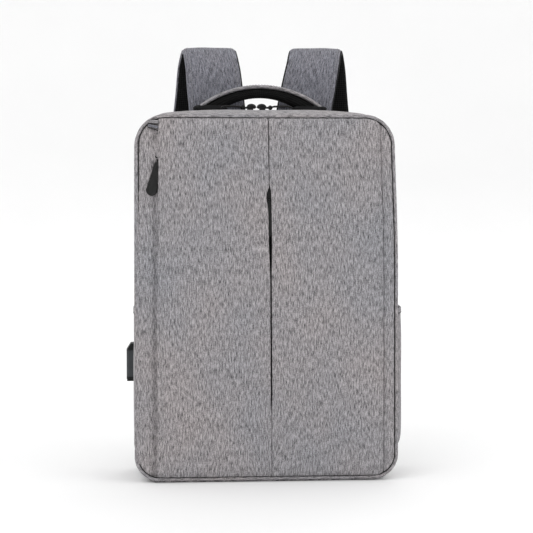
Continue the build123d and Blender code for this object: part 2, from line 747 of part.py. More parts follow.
lock_length = 5 * LOCK_BAR
with BuildPart() as ladder_lock:
    with BuildSketch(face_plane):
        with Locations((0, LOCK_START + lock_length / 2)):
            RectangleRounded(LOCK_WIDTH, lock_length, 3)
        for slot in (1.5, 3.5):
            with Locations((0, LOCK_START + slot * LOCK_BAR)):
                Rectangle(WEBBING_WIDTH + 2, LOCK_BAR, mode=Mode.SUBTRACT)
    extrude(amount=LOCK_THICKNESS / 2, both=True)
save_pair(ladder_lock, "ladder_lock")

lock_end = LOCK_START + lock_length
tail_top = strap_end.origin + down * (lock_end - 8) + out * (LOCK_THICKNESS / 2 + 1)
tail_turn = strap_end.origin + down * (lock_end + 6) + out * (LOCK_THICKNESS / 2 + 1)
with BuildLine() as tail_line:
    Spline(tail_top, tail_turn, tail_turn + Vector(0, 1, -42), tail_turn + Vector(0, 0, -84))
tail_half = WEBBING_THICKNESS / 2
save_pair(band(tail_line.line, webbing_width, -tail_half, tail_half, 6), "strap_tail")

ANCHOR_THICKNESS = 2.0
webbing_top = strap_end.origin + down * (lock_end + 1.5) - out * 1.5
with BuildLine() as webbing_line:
    Spline(webbing_top, (108, 80, 92), (118, 69, 62), (125, BACK_Y + 5, 38), (126, BACK_Y + 4, 16))
save_pair(band(webbing_line.line, webbing_width, -tail_half, tail_half, 9), "lower_webbing")

with BuildPart() as strap_anchors:
    with BuildSketch(at_depth(BACK_Y + ANCHOR_THICKNESS)):
        Polygon((110, 9), (131, 9), (139, 18), (140, 40), (112, 40), align=None)
        mirror(about=Plane.YZ)
    extrude(amount=ANCHOR_THICKNESS)
save(strap_anchors, "strap_anchors")
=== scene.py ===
"""Looks of a grey melange laptop backpack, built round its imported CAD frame.

Lengths in this file are in millimetres until a mesh is made, and the meshes are in metres.
X runs across the bag, Y from its front to the wearer's back, and Z is up.
"""

import math

import bmesh
import bpy
import numpy as np
from bpy.props import FloatProperty, FloatVectorProperty, IntProperty, PointerProperty
from bpy.types import Operator, Panel, PropertyGroup
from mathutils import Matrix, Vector


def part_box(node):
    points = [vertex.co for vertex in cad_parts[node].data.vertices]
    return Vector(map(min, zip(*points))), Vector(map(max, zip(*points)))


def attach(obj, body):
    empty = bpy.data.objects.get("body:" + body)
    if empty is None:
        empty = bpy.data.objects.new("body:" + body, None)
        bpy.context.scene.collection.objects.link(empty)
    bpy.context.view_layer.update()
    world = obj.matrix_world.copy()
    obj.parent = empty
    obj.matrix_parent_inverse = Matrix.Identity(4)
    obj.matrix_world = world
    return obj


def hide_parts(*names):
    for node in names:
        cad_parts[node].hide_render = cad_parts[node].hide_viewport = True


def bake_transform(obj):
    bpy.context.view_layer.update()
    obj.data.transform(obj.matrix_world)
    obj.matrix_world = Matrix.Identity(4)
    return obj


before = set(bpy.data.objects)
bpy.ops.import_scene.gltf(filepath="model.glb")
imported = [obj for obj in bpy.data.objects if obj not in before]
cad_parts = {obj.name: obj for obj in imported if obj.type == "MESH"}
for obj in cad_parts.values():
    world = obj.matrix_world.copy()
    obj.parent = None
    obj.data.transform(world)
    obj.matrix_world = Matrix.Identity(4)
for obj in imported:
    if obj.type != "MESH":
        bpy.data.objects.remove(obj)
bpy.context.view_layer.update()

bl_info = {
    "name": "Laptop backpack",
    "version": (1, 0, 0),
    "blender": (4, 5, 0),
    "location": "3D View > Sidebar > Backpack",
    "description": "Builds the cloth, straps, zips and trim of a laptop backpack",
    "category": "Object",
}

MM = 0.001
TAU = 2 * math.pi


def cad(node):
    """The lowest and highest corner of a CAD node, in millimetres."""
    low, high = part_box(node)
    return np.array(low) / MM, np.array(high) / MM


# ------------------------------------------------------------------ the bag's measures, from the frame
WELT_LOW, WELT_HIGH = cad("front_welt")
WELT_R = (WELT_HIGH[1] - WELT_LOW[1]) / 2
WELT_HALF = WELT_HIGH[0] - WELT_R
WELT_BOTTOM = WELT_LOW[2] + WELT_R
WELT_TOP = WELT_HIGH[2] - WELT_R
FRONT_WELT_Y = WELT_LOW[1] + WELT_R
REAR_WELT_Y = cad("rear_welt")[0][1] + WELT_R
TOP_RADIUS = 32.0
BOTTOM_RADIUS = 26.0
BODY_HALF = cad("front_wall_right")[1][0]
BODY_TOP = cad("rear_wall_top")[1][2]
WALL = cad("front_wall_right")[1][0] - cad("front_wall_right")[0][0]
FRONT_WALL_END = cad("front_wall_top")[1][1]
REAR_WALL_START = cad("rear_wall_top")[0][1]
ZIP_Y = (FRONT_WALL_END + REAR_WALL_START) / 2
PAN_TOP = cad("bottom_panel")[1][2]
FRONT_WALL_LOW = cad("front_wall_right")[0][2]
LOW_ZIP_Z = (PAN_TOP + FRONT_WALL_LOW) / 2 - 0.5
FACE_Y = cad("front_panel_left")[0][1]
BACKING_Y = cad("front_lining")[0][1]
FLAP_EDGE = cad("front_panel_left")[0][0]
CENTRE_SEAM = (cad("centre_slider")[0][0] + cad("centre_slider")[1][0]) / 2
RIGHT_SEAM = cad("front_strip_right")[0][0]
BACK_Y = cad("back_panel")[1][1]


# ------------------------------------------------------------------------------------- settings
class BackpackCloth(PropertyGroup):
    """Colours and scales of the cloths."""

    light_yarn: FloatVectorProperty(
        name="Light yarn", description="Colour of the pale yarns", subtype="COLOR",
        default=(0.420, 0.404, 0.410), min=0, max=1,
    )
    dark_yarn: FloatVectorProperty(
        name="Dark yarn", description="Colour of the dark yarns", subtype="COLOR",
        default=(0.072, 0.069, 0.072), min=0, max=1,
    )
    # The straps' cloth is the body's melange; this darkening is painted shade for the lesser light that
    # falls on the straps.
    strap_painted_shade: FloatProperty(
        name="Strap shade", description="How much darker the straps' cloth is", default=0.68,
        min=0.3, max=1, subtype="FACTOR",
    )
    streak_length: FloatProperty(
        name="Streak length", description="Length of the yarn streaks", default=0.0105,
        min=0.001, max=0.05, subtype="DISTANCE", unit="LENGTH",
    )
    yarn_width: FloatProperty(
        name="Yarn width", description="Width of one yarn streak", default=0.00105,
        min=0.0002, max=0.01, subtype="DISTANCE", unit="LENGTH",
    )


class BackpackShape(PropertyGroup):
    """How full and how uneven the soft parts are."""

    gusset_puff: FloatProperty(
        name="Gusset puff", description="How far the side walls swell between their seams, in millimetres",
        default=1.6, min=0, max=6,
    )
    crown_rise: FloatProperty(
        name="Crown rise", description="How far the top swells above the frame, in millimetres",
        default=-0.8, min=-4, max=8,
    )
    corner_fall: FloatProperty(
        name="Corner fall", description="How far the top corners draw in between the welts, in millimetres",
        default=6.0, min=0, max=12,
    )
    panel_puff: FloatProperty(
        name="Front puff", description="How far the front panels swell, in millimetres",
        default=1.1, min=0, max=6,
    )
    unevenness: FloatProperty(
        name="Unevenness", description="Depth of the cloth's soft waves, in millimetres",
        default=0.5, min=0, max=3,
    )
    pucker: FloatProperty(
        name="Seam pucker", description="Depth of the small gathers beside the seams, in millimetres",
        default=0.34, min=0, max=2,
    )
    pressure_frames: IntProperty(
        name="Padding frames", description="Frames of cloth simulation for the padded pieces",
        default=20, min=2, max=40,
    )


class BackpackStage(PropertyGroup):
    """Camera and light."""

    camera_place: FloatVectorProperty(
        name="Camera place", description="Where the camera stands", subtype="XYZ", unit="LENGTH",
        default=(-0.158, -2.054, 0.350),
    )
    camera_aim: FloatVectorProperty(
        name="Camera aim", description="The point that the camera looks at", subtype="XYZ", unit="LENGTH",
        default=(0.0008, -0.054, 0.243),
    )
    camera_shift: FloatProperty(
        name="Camera shift", description="Upward shift of the picture", default=0.0,
    )
    lens: FloatProperty(
        name="Lens", description="Focal length in millimetres", default=121.0, min=20, max=300,
    )
    light_power: FloatProperty(
        name="Light power", description="Power of the main light in watts", default=26.0, min=0, max=500,
    )
    sky_strength: FloatProperty(
        name="Sky strength", description="Strength of the surrounding white light",
        default=1.0, min=0, max=5,
    )


# --------------------------------------------------------------------------------- mesh construction
def make_piece(name, vertices, faces, loop_uv, materials, face_slots=None, closed=True):
    """Makes a mesh object from vertices in millimetres, faces and one UV pair, in metres, per corner."""
    mesh = bpy.data.meshes.new(name)
    mesh.from_pydata((np.asarray(vertices) * MM).tolist(), [], [list(face) for face in faces])
    layer = mesh.uv_layers.new(name="UVMap")
    layer.data.foreach_set("uv", np.asarray(loop_uv, dtype=np.float32).ravel() * MM)
    mesh.polygons.foreach_set("use_smooth", np.ones(len(mesh.polygons), dtype=bool))
    for material in materials:
        mesh.materials.append(material)
    if face_slots is not None:
        mesh.polygons.foreach_set("material_index", np.asarray(face_slots, dtype=np.int32))
    if closed:
        shell = bmesh.new()
        shell.from_mesh(mesh)
        bmesh.ops.recalc_face_normals(shell, faces=shell.faces)
        shell.to_mesh(mesh)
        shell.free()
    mesh.update()
    piece = bpy.data.objects.new(name, mesh)
    bpy.context.scene.collection.objects.link(piece)
    return piece


def grid_faces(rows, columns, close_rows=False, close_columns=False):
    """The quads of a grid, as indices of its points and as indices of its corners with the seams open."""
    across = columns + int(close_columns)
    down = rows + int(close_rows)
    row, column = np.meshgrid(np.arange(down - 1), np.arange(across - 1), indexing="ij")
    steps = ((0, 0), (1, 0), (1, 1), (0, 1))
    points = [((row + a) % rows) * columns + (column + b) % columns for a, b in steps]
    corners = [(row + a) * across + (column + b) for a, b in steps]
    return np.stack(points, -1).reshape(-1, 4), np.stack(corners, -1).reshape(-1, 4)


def surface(name, points, uv, materials, close_rows=False, close_columns=False, caps=False,
            column_slots=None, closed=True):
    """A surface over a grid of points, shape (rows, columns, 3). The UV grid has one more row or column
    where the surface closes on itself. Caps fill the first and last rows of a closed section."""
    rows, columns = points.shape[:2]
    quads, corners = grid_faces(rows, columns, close_rows, close_columns)
    faces = quads.tolist()
    loop_uv = uv.reshape(-1, 2)[corners].reshape(-1, 2)
    slots = None
    if column_slots is not None:
        slots = np.tile(column_slots, rows - 1 + int(close_rows))
    if caps:
        for row in (0, rows - 1):
            faces.append(list(range(row * columns, (row + 1) * columns)))
            loop_uv = np.vstack([loop_uv, uv[row, :columns]])
        if slots is not None:
            slots = np.concatenate([slots, [0, 0]])
    return make_piece(name, points.reshape(-1, 3), faces, loop_uv, materials, slots, closed)


def two_sided(name, front, back, uv, materials):
    """A closed piece from a front and a back grid of the same shape, joined all round the rim."""
    rows, columns = front.shape[:2]
    quads, _ = grid_faces(rows, columns)
    count = rows * columns
    index = np.arange(count).reshape(rows, columns)
    rim = np.concatenate([index[0, :-1], index[:-1, -1], index[-1, :0:-1], index[:0:-1, 0]])
    following = np.roll(rim, -1)
    side = np.stack([rim, following, following + count, rim + count], -1)
    faces = np.vstack([quads, quads[:, ::-1] + count, side])
    flat_uv = np.vstack([uv.reshape(-1, 2), uv.reshape(-1, 2)])
    vertices = np.vstack([front.reshape(-1, 3), back.reshape(-1, 3)])
    return make_piece(name, vertices, faces.tolist(), flat_uv[faces].reshape(-1, 2), materials)


def running_length(points, axis=0):
    """The distance along a line of points from its start to each of them."""
    steps = np.linalg.norm(np.diff(points, axis=axis), axis=-1)
    start = np.zeros_like(np.take(steps, [0], axis=axis))
    return np.concatenate([start, np.cumsum(steps, axis=axis)], axis=axis)


def swept(name, centres, across, out, section, materials, closed_path=False, column_slots=None):
    """A section carried along a path: each point is the path's point plus the section's first number
    times the across direction plus its second times the out direction. The section closes on itself."""
    section = np.broadcast_to(section, (len(centres),) + section.shape[-2:])
    points = centres[:, None] + across[:, None] * section[..., :1] + out[:, None] * section[..., 1:]
    around = running_length(np.vstack([section[0], section[0][:1]]))
    path = np.vstack([centres, centres[:1]]) if closed_path else centres
    along = running_length(path)
    uv = np.stack(np.meshgrid(along, around, indexing="ij")[::-1], -1)
    return surface(name, points, uv, materials, close_rows=closed_path, close_columns=True,
                   caps=not closed_path, column_slots=column_slots)


def round_section(radius, count=10):
    """A circle."""
    turn = np.arange(count) * TAU / count
    return radius * np.stack([np.cos(turn), np.sin(turn)], -1)


def band_section(width, thickness, crown=0.0, flat=9, edge=4):
    """A flat band's section with round edges, its first points along the outer side. Both faces rise by
    crown in the middle: the height is the half thickness plus crown times one minus the square of the
    distance from the middle."""
    half, radius = width / 2, thickness / 2
    x = np.linspace(half - radius, radius - half, flat)
    rise = crown * (1 - (x / half) ** 2)
    turn = np.linspace(0, math.pi, edge + 2)[1:-1]
    left = np.stack([radius - half - radius * np.sin(turn), radius * np.cos(turn)], -1)
    right = np.stack([half - radius + radius * np.sin(turn), -radius * np.cos(turn)], -1)
    top = np.stack([x, radius + rise], -1)
    bottom = np.stack([x[::-1], -radius - rise[::-1]], -1)
    return np.vstack([top, left, bottom, right])


def waves(a, b, scale, seed):
    """Soft unevenness between -1 and 1: five crossed sine waves whose directions, phases and lengths are
    drawn from a seed, averaged."""
    draw = np.random.default_rng(seed)
    turns, phases, lengths = draw.uniform(0, TAU, 5), draw.uniform(0, TAU, 5), draw.uniform(0.6, 1.7, 5)
    total = sum(
        np.sin((a * math.cos(t) + b * math.sin(t)) * TAU * k / scale + p)
        for t, p, k in zip(turns, phases, lengths)
    )
    return total / 5


def smoothed(value, low, high):
    """0 below low, 1 above high and a smooth step between them."""
    t = np.clip((value - low) / (high - low), 0, 1)
    return t * t * (3 - 2 * t)


def smooth_route(points, count):
    """A smooth line through given points: cubic pieces whose slope at each point is that of the
    line from the point before to the point after. Returns evenly spaced points and unit directions."""
    points = np.array(points, dtype=float)
    knots = running_length(points)
    slopes = np.gradient(points, knots, axis=0)
    s = np.linspace(0, knots[-1], count * 4)
    k = np.clip(np.searchsorted(knots, s, side="right") - 1, 0, len(knots) - 2)
    gap = (knots[k + 1] - knots[k])[:, None]
    t = ((s - knots[k])[:, None]) / gap
    dense = ((2 * t**3 - 3 * t**2 + 1) * points[k] + (t**3 - 2 * t**2 + t) * gap * slopes[k]
             + (3 * t**2 - 2 * t**3) * points[k + 1] + (t**3 - t**2) * gap * slopes[k + 1])
    length = running_length(dense)
    even = np.linspace(0, length[-1], count)
    line = np.stack([np.interp(even, length, dense[:, i]) for i in range(3)], -1)
    direction = np.gradient(line, axis=0)
    return line, direction / np.linalg.norm(direction, axis=1, keepdims=True)


def stitch_row(name, line, normal, material, body, length=2.4, pitch=3.4, radius=0.28):
    """A row of sewn stitches along a line: short five-sided threads, each a stretched ring profile that
    dips into the cloth at both ends."""
    distance = running_length(line)
    count = max(2, int(distance[-1] / pitch))
    middle = (np.arange(count) + 0.5) * distance[-1] / count
    normal = np.broadcast_to(normal, line.shape)
    centre = np.stack([np.interp(middle, distance, line[:, i]) for i in range(3)], -1)
    up = np.stack([np.interp(middle, distance, normal[:, i]) for i in range(3)], -1)
    ahead = np.stack([np.interp(middle + 0.5, distance, line[:, i]) for i in range(3)], -1) - centre
    ahead /= np.linalg.norm(ahead, axis=1, keepdims=True)
    side = np.cross(ahead, up)
    along = np.array([-0.5, -0.36, 0.0, 0.36, 0.5]) * length
    lift = np.array([-0.5, 0.1, 0.35, 0.1, -0.5]) * radius * 2
    girth = np.array([0.35, 0.9, 1.0, 0.9, 0.35]) * radius
    turn = np.arange(5) * TAU / 5
    offset_side = girth[:, None] * np.cos(turn)
    offset_up = lift[:, None] + girth[:, None] * np.sin(turn)
    points = (centre[:, None, None] + ahead[:, None, None] * along[:, None, None]
              + side[:, None, None] * offset_side[..., None] + up[:, None, None] * offset_up[..., None])
    quads, _ = grid_faces(5, 5, close_columns=True)
    one = quads.tolist()
    size = 25
    caps = np.array([[0, 1, 2, 3, 4], [24, 23, 22, 21, 20]])
    starts = np.arange(count)[:, None, None] * size
    faces = (np.array(one)[None] + starts).reshape(-1, 4).tolist()
    faces += (caps[None] + starts).reshape(-1, 5).tolist()
    corner_count = sum(len(face) for face in faces)
    piece = make_piece(name, points.reshape(-1, 3), faces, np.zeros((corner_count, 2)), [material])
    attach(piece, body)
    return piece


# ------------------------------------------------------------------------------------ the bag's outline
def ring(half, bottom, top, top_radius, bottom_radius, spacing, z_start=None):
    """The rounded outline of the bag: straight runs joined by quarter circles, as points (x, z), outward
    normals and running length. It starts in the middle of the base and goes round by the right. With
    z_start, only the stretch over the top between those two heights is kept."""
    quarter = np.linspace(0, math.pi / 2, 24)

    def arc(centre_x, centre_z, radius, start):
        turn = start + quarter
        normal = np.stack([np.cos(turn), np.sin(turn)], -1)
        return np.array([centre_x, centre_z]) + radius * normal, normal

    pieces = [
        (np.array([[0.0, bottom]]), np.array([[0.0, -1.0]])),
        arc(half - bottom_radius, bottom + bottom_radius, bottom_radius, -math.pi / 2),
        arc(half - top_radius, top - top_radius, top_radius, 0),
        arc(top_radius - half, top - top_radius, top_radius, math.pi / 2),
        arc(bottom_radius - half, bottom + bottom_radius, bottom_radius, math.pi),
        (np.array([[0.0, bottom]]), np.array([[0.0, -1.0]])),
    ]
    line = np.vstack([piece[0] for piece in pieces])
    normal = np.vstack([piece[1] for piece in pieces])
    length = running_length(line)
    low, high = 0.0, length[-1]
    if z_start is not None:
        rising = slice(0, len(line) // 2)
        low = np.interp(z_start, line[rising, 1], length[rising])
        high = length[-1] - low
    count = int((high - low) / spacing)
    s = np.linspace(low, high, count, endpoint=z_start is not None)
    line = np.stack([np.interp(s, length, line[:, i]) for i in range(2)], -1)
    normal = np.stack([np.interp(s, length, normal[:, i]) for i in range(2)], -1)
    return line, normal / np.linalg.norm(normal, axis=1, keepdims=True), s


def lean(points):
    """The bag narrows a little towards its top: each point moves towards the middle by a share that grows
    with its height, and the right side bellies out below its middle and leans in above it."""
    points = points.copy()
    x, z = points[..., 0], points[..., 2]
    right_share = np.clip((x + 120) / 263, 0, 1)
    points[..., 0] = x * (1 - 0.0000266 * (z - 243)) + (3.0 - 4.2 * smoothed(z, 240, 420)) * right_share
    return points


def room_inside(x, z, inset=0.0):
    """How far a point lies inside the front welt's inner edge: the distance to a rounded rectangle."""
    half = WELT_HALF - WELT_R - inset
    low, high = WELT_BOTTOM + WELT_R + inset, WELT_TOP - WELT_R - inset
    middle = (low + high) / 2
    radius = np.where(z > middle, TOP_RADIUS, BOTTOM_RADIUS) - WELT_R - inset
    qx = np.abs(x) - half + radius
    qz = np.abs(z - middle) - (high - low) / 2 + radius
    outside = np.hypot(np.maximum(qx, 0), np.maximum(qz, 0)) + np.minimum(np.maximum(qx, qz), 0)
    return radius - outside


def height_limits(x, inset=0.0):
    """The lowest and highest point of the room inside the welt at each place across."""
    half = WELT_HALF - WELT_R - inset
    limits = []
    for radius, end, sign in (
        (BOTTOM_RADIUS - WELT_R - inset, WELT_BOTTOM + WELT_R + inset, 1),
        (TOP_RADIUS - WELT_R - inset, WELT_TOP - WELT_R - inset, -1),
    ):
        over = np.clip(np.abs(x) - (half - radius), 0, radius)
        limits.append(end + sign * (radius - np.sqrt(np.maximum(radius**2 - over**2, 0))))
    return limits


def towards_edges(count, power=1.6):
    """Numbers from 0 to 1, closer together towards both ends."""
    t = np.linspace(-1, 1, count)
    return 0.5 + 0.5 * np.sign(t) * (1 - (1 - np.abs(t)) ** power)


# ------------------------------------------------------------------------------------------ materials
class Nodes:
    """A material's node tree, with short calls for the nodes used here."""

    def __init__(self, name, roughness=0.8, metallic=0.0, specular=0.3, sheen=0.0):
        self.material = bpy.data.materials.new(name)
        self.material.use_nodes = True
        self.tree = self.material.node_tree
        self.shader = self.tree.nodes["Principled BSDF"]
        self.shader.inputs["Roughness"].default_value = roughness
        self.shader.inputs["Metallic"].default_value = metallic
        self.shader.inputs["Specular IOR Level"].default_value = specular
        self.shader.inputs["Sheen Weight"].default_value = sheen
        self.coordinates = self.add("ShaderNodeTexCoord")

    def add(self, kind, **settings):
        node = self.tree.nodes.new(kind)
        for key, value in settings.items():
            setattr(node, key, value)
        return node

    def link(self, source, target):
        self.tree.links.new(source, target)

    def stretched(self, scale, source="UV"):
        """The piece's own coordinates, multiplied by scale along each axis."""
        mapping = self.add("ShaderNodeMapping")
        mapping.inputs["Scale"].default_value = scale
        self.link(self.coordinates.outputs[source], mapping.inputs["Vector"])
        return mapping.outputs["Vector"]

    def noise(self, vector, detail=2.0, roughness=0.55, scale=1.0):
        node = self.add("ShaderNodeTexNoise")
        node.inputs["Scale"].default_value = scale
        node.inputs["Detail"].default_value = detail
        node.inputs["Roughness"].default_value = roughness
        self.link(vector, node.inputs["Vector"])
        return node.outputs["Fac"]

    def ramp(self, source, stops):
        node = self.add("ShaderNodeValToRGB")
        elements = node.color_ramp.elements
        while len(elements) < len(stops):
            elements.new(0.5)
        for element, (place, colour) in zip(elements, stops):
            element.position = place
            element.color = (*colour, 1.0) if len(colour) == 3 else colour
        self.link(source, node.inputs["Fac"])
        return node.outputs["Color"]

    def math(self, kind, a, b=None):
        node = self.add("ShaderNodeMath", operation=kind)
        for socket, value in zip(node.inputs, (a, b)):
            if value is None:
                continue
            if isinstance(value, (int, float)):
                socket.default_value = value
            else:
                self.link(value, socket)
        return node.outputs["Value"]

    def mix(self, kind, amount, a, b):
        node = self.add("ShaderNodeMix", data_type="RGBA", blend_type=kind)
        node.inputs["Factor"].default_value = amount
        self.link(a, node.inputs["A"])
        self.link(b, node.inputs["B"])
        return node.outputs["Result"]

    def bump(self, height, strength, distance, under=None):
        node = self.add("ShaderNodeBump")
        node.inputs["Strength"].default_value = strength
        node.inputs["Distance"].default_value = distance
        self.link(height, node.inputs["Height"])
        if under is not None:
            self.link(under, node.inputs["Normal"])
        return node.outputs["Normal"]

    def finish(self, colour=None, normal=None, roughness=None):
        for source, target in ((colour, "Base Color"), (normal, "Normal"), (roughness, "Roughness")):
            if source is not None:
                self.link(source, self.shader.inputs[target])
        return self.material


def grey(value, tint=(1.0, 1.0, 1.0)):
    """A colour from one grey level and a tint."""
    return tuple(value * part for part in tint)


def melange(name, cloth, shade=1.0, tint=(1.0, 1.0, 1.0)):
    """Two-tone woven cloth: pale and dark yarns in long streaks that run along V, with slubs, a fine
    weave and broad cloudy changes of tone."""
    nodes = Nodes(name, roughness=0.88, specular=0.18, sheen=0.12)
    nodes.shader.inputs["Sheen Roughness"].default_value = 0.6
    yarn, streak = 1 / cloth.yarn_width, 1 / cloth.streak_length
    # shade darkens both yarns evenly; the straps' copy uses it as painted shade for the lesser light on
    # them.
    light = tuple(c * shade * t for c, t in zip(cloth.light_yarn, tint))
    dark = tuple(c * shade * t for c, t in zip(cloth.dark_yarn, tint))
    middle = tuple((a + b) / 2 for a, b in zip(light, dark))
    fine = nodes.noise(nodes.stretched((yarn * 1.15, streak * 1.7, 1)), detail=3.0, roughness=0.72)
    slub = nodes.noise(nodes.stretched((yarn * 0.62, streak * 0.9, 1)), detail=2.0, roughness=0.6)
    pick = nodes.noise(nodes.stretched((yarn * 0.9, yarn * 0.95, 1)), detail=1.0)
    mixed = nodes.math("ADD", nodes.math("MULTIPLY", fine, 0.56), nodes.math("MULTIPLY", slub, 0.26))
    mixed = nodes.math("ADD", mixed, nodes.math("MULTIPLY", pick, 0.18))
    colour = nodes.ramp(mixed, [(0.405, dark), (0.50, middle), (0.595, light)])
    cloud = nodes.noise(nodes.stretched((9, 6, 1)), detail=2.0)
    cool, warm = grey(0.95, (0.97, 1.0, 1.045)), grey(1.05, (1.035, 0.99, 0.98))
    tone = nodes.ramp(cloud, [(0.32, cool), (0.68, warm)])
    colour = nodes.mix("MULTIPLY", 1.0, colour, tone)
    weave = nodes.noise(nodes.stretched((yarn * 2.6, yarn * 2.2, 1)), detail=1.0)
    normal = nodes.bump(mixed, 0.35, 0.0006)
    normal = nodes.bump(weave, 0.30, 0.0003, normal)
    return nodes.finish(colour, normal)


def ribbed(name, level, pitch=0.0016, across_pitch=0.0009):
    """Woven webbing or tape: ribs across its length with a fine warp, from two sine waves of V and U."""
    nodes = Nodes(name, roughness=0.75, specular=0.10, sheen=0.02)
    split = nodes.add("ShaderNodeSeparateXYZ")
    nodes.link(nodes.coordinates.outputs["UV"], split.inputs["Vector"])
    rib = nodes.math("SINE", nodes.math("MULTIPLY", split.outputs["Y"], TAU / pitch))
    warp = nodes.math("SINE", nodes.math("MULTIPLY", split.outputs["X"], TAU / across_pitch))
    height = nodes.math("ADD", nodes.math("MULTIPLY", rib, 0.3), nodes.math("MULTIPLY", warp, 0.2))
    height = nodes.math("ADD", height, 0.5)
    speck = nodes.noise(nodes.stretched((900, 900, 1)), detail=2.0)
    colour = nodes.ramp(speck, [(0.3, grey(level * 0.6)), (0.7, grey(level * 1.5, (1, 1, 1.06)))])
    shadow = nodes.ramp(height, [(0.1, grey(0.55)), (0.8, grey(1.15))])
    colour = nodes.mix("MULTIPLY", 1.0, colour, shadow)
    return nodes.finish(colour, nodes.bump(height, 0.5, 0.0004))


def spacer_mesh(name, level):
    """Knitted spacer mesh: round holes in staggered rows, from the product of two sine waves turned by
    45 degrees, over a fine knit. The holes are painted dark as the shade inside them."""
    nodes = Nodes(name, roughness=0.9, specular=0.05, sheen=0.0)
    mapping = nodes.add("ShaderNodeMapping")
    mapping.inputs["Rotation"].default_value = (0, 0, math.radians(45))
    mapping.inputs["Scale"].default_value = (1 / 0.0034, 1 / 0.0034, 1)
    nodes.link(nodes.coordinates.outputs["UV"], mapping.inputs["Vector"])
    split = nodes.add("ShaderNodeSeparateXYZ")
    nodes.link(mapping.outputs["Vector"], split.inputs["Vector"])
    one = nodes.math("SINE", nodes.math("MULTIPLY", split.outputs["X"], TAU))
    two = nodes.math("SINE", nodes.math("MULTIPLY", split.outputs["Y"], TAU))
    hole = nodes.math("ADD", nodes.math("MULTIPLY", nodes.math("MULTIPLY", one, two), 0.5), 0.5)
    # The holes are painted much darker than the knit: painted shade inside them.
    colour = nodes.ramp(hole, [(0.35, grey(level * 1.7)), (0.72, grey(level * 0.25))])
    knit = nodes.noise(nodes.stretched((1500, 900, 1)), detail=2.0)
    colour = nodes.mix("MULTIPLY", 1.0, colour, nodes.ramp(knit, [(0.3, grey(0.7)), (0.7, grey(1.3))]))
    depth = nodes.math("SUBTRACT", 1.0, hole)
    normal = nodes.bump(depth, 0.6, 0.0008)
    return nodes.finish(colour, nodes.bump(knit, 0.2, 0.0003, normal))


def moulded(name, level, roughness, tint=(1, 1, 1), grain=1400, metallic=0.0, depth=0.12, bands=False):
    """Moulded plastic, rubber or painted metal: a fine spark-eroded grain, faint scuffs in the gloss.
    With bands, the charging port's foot and its slanted top are black."""
    nodes = Nodes(name, roughness=roughness, metallic=metallic, specular=0.22)
    grain_noise = nodes.noise(nodes.stretched((grain, grain, grain), "Object"), detail=2.0)
    scuff = nodes.noise(nodes.stretched((120, 120, 120), "Object"), detail=4.0, roughness=0.7)
    colour = nodes.ramp(scuff, [(0.3, grey(level * 0.85, tint)), (0.75, grey(level * 1.2, tint))])
    worn = nodes.ramp(scuff, [(0.35, grey(roughness * 0.85)), (0.7, grey(min(1, roughness * 1.15)))])
    if bands:
        low, high = (corner[2] * MM for corner in cad("usb_housing"))
        split = nodes.add("ShaderNodeSeparateXYZ")
        nodes.link(nodes.coordinates.outputs["Object"], split.inputs["Vector"])
        share = nodes.math("DIVIDE", nodes.math("SUBTRACT", split.outputs["Z"], low), high - low)
        shades = [(0.05, grey(0.2)), (0.08, grey(1.0)), (0.78, grey(1.0)), (0.83, grey(0.2))]
        colour = nodes.mix("MULTIPLY", 1.0, colour, nodes.ramp(share, shades))
    return nodes.finish(colour, nodes.bump(grain_noise, depth, 0.0002), worn)


def plain_weave(name, level, tint=(1, 1, 1)):
    """A plain lining cloth: a fine square weave in one colour."""
    nodes = Nodes(name, roughness=0.82, specular=0.2, sheen=0.1)
    weave = nodes.noise(nodes.stretched((1600, 1500, 1)), detail=1.0)
    cloud = nodes.noise(nodes.stretched((14, 11, 1)), detail=2.0)
    colour = nodes.ramp(weave, [(0.3, grey(level * 0.75, tint)), (0.7, grey(level * 1.25, tint))])
    colour = nodes.mix("MULTIPLY", 1.0, colour, nodes.ramp(cloud, [(0.3, grey(0.9)), (0.7, grey(1.08))]))
    return nodes.finish(colour, nodes.bump(weave, 0.3, 0.0003))


MATERIALS = {}


def make_materials(cloth):
    """Makes every material once."""
    MATERIALS.update(
        cloth=melange("melange cloth", cloth),
        # The strap copy of the cloth is darker as painted shade, and slightly blue-tinted; it also covers
        # the yoke, the anchors, one binding and the garage fold.
        strap_cloth=melange("melange strap cloth painted shade", cloth, cloth.strap_painted_shade, (0.96, 1.0, 1.10)),
        lining=plain_weave("grey lining", 0.11),
        tape=ribbed("black zip tape", 0.007, 0.0011, 0.0008),
        webbing=ribbed("black webbing", 0.013),
        mesh=spacer_mesh("black spacer mesh", 0.022),
        strap_mesh=spacer_mesh("black strap mesh", 0.008),
        coil=moulded("nylon coil", 0.008, 0.42),
        plastic=moulded("dark plastic", 0.055, 0.5, (0.92, 1.0, 1.08), bands=True),
        black_plastic=moulded("black plastic", 0.018, 0.45),
        rubber=moulded("black rubber", 0.009, 0.36, grain=900, depth=0.06),
        slider=moulded("black painted metal", 0.010, 0.32, metallic=0.3, depth=0.04),
        steel=moulded("plated steel", 0.50, 0.30, metallic=1.0, depth=0.03),
        board=moulded("stiff board", 0.06, 0.6),
        foam=plain_weave("foam", 0.05),
        thread=plain_weave("grey thread", 0.27),
        black_thread=plain_weave("black thread", 0.010),
    )


def ready(piece, body, slot, *nodes):
    """Sets a piece on its body and hides the CAD nodes that it stands for. slot is not used."""
    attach(piece, body)
    if nodes:
        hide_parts(*nodes)
    return piece


def add_lining(piece, thickness):
    """Gives a cloth surface its thickness inwards, with lining on the inner side."""
    piece.data.materials.append(MATERIALS["lining"])
    solid = piece.modifiers.new("thickness", "SOLIDIFY")
    solid.thickness = thickness * MM
    solid.offset = -1.0
    solid.material_offset = 1
    solid.use_even_offset = False


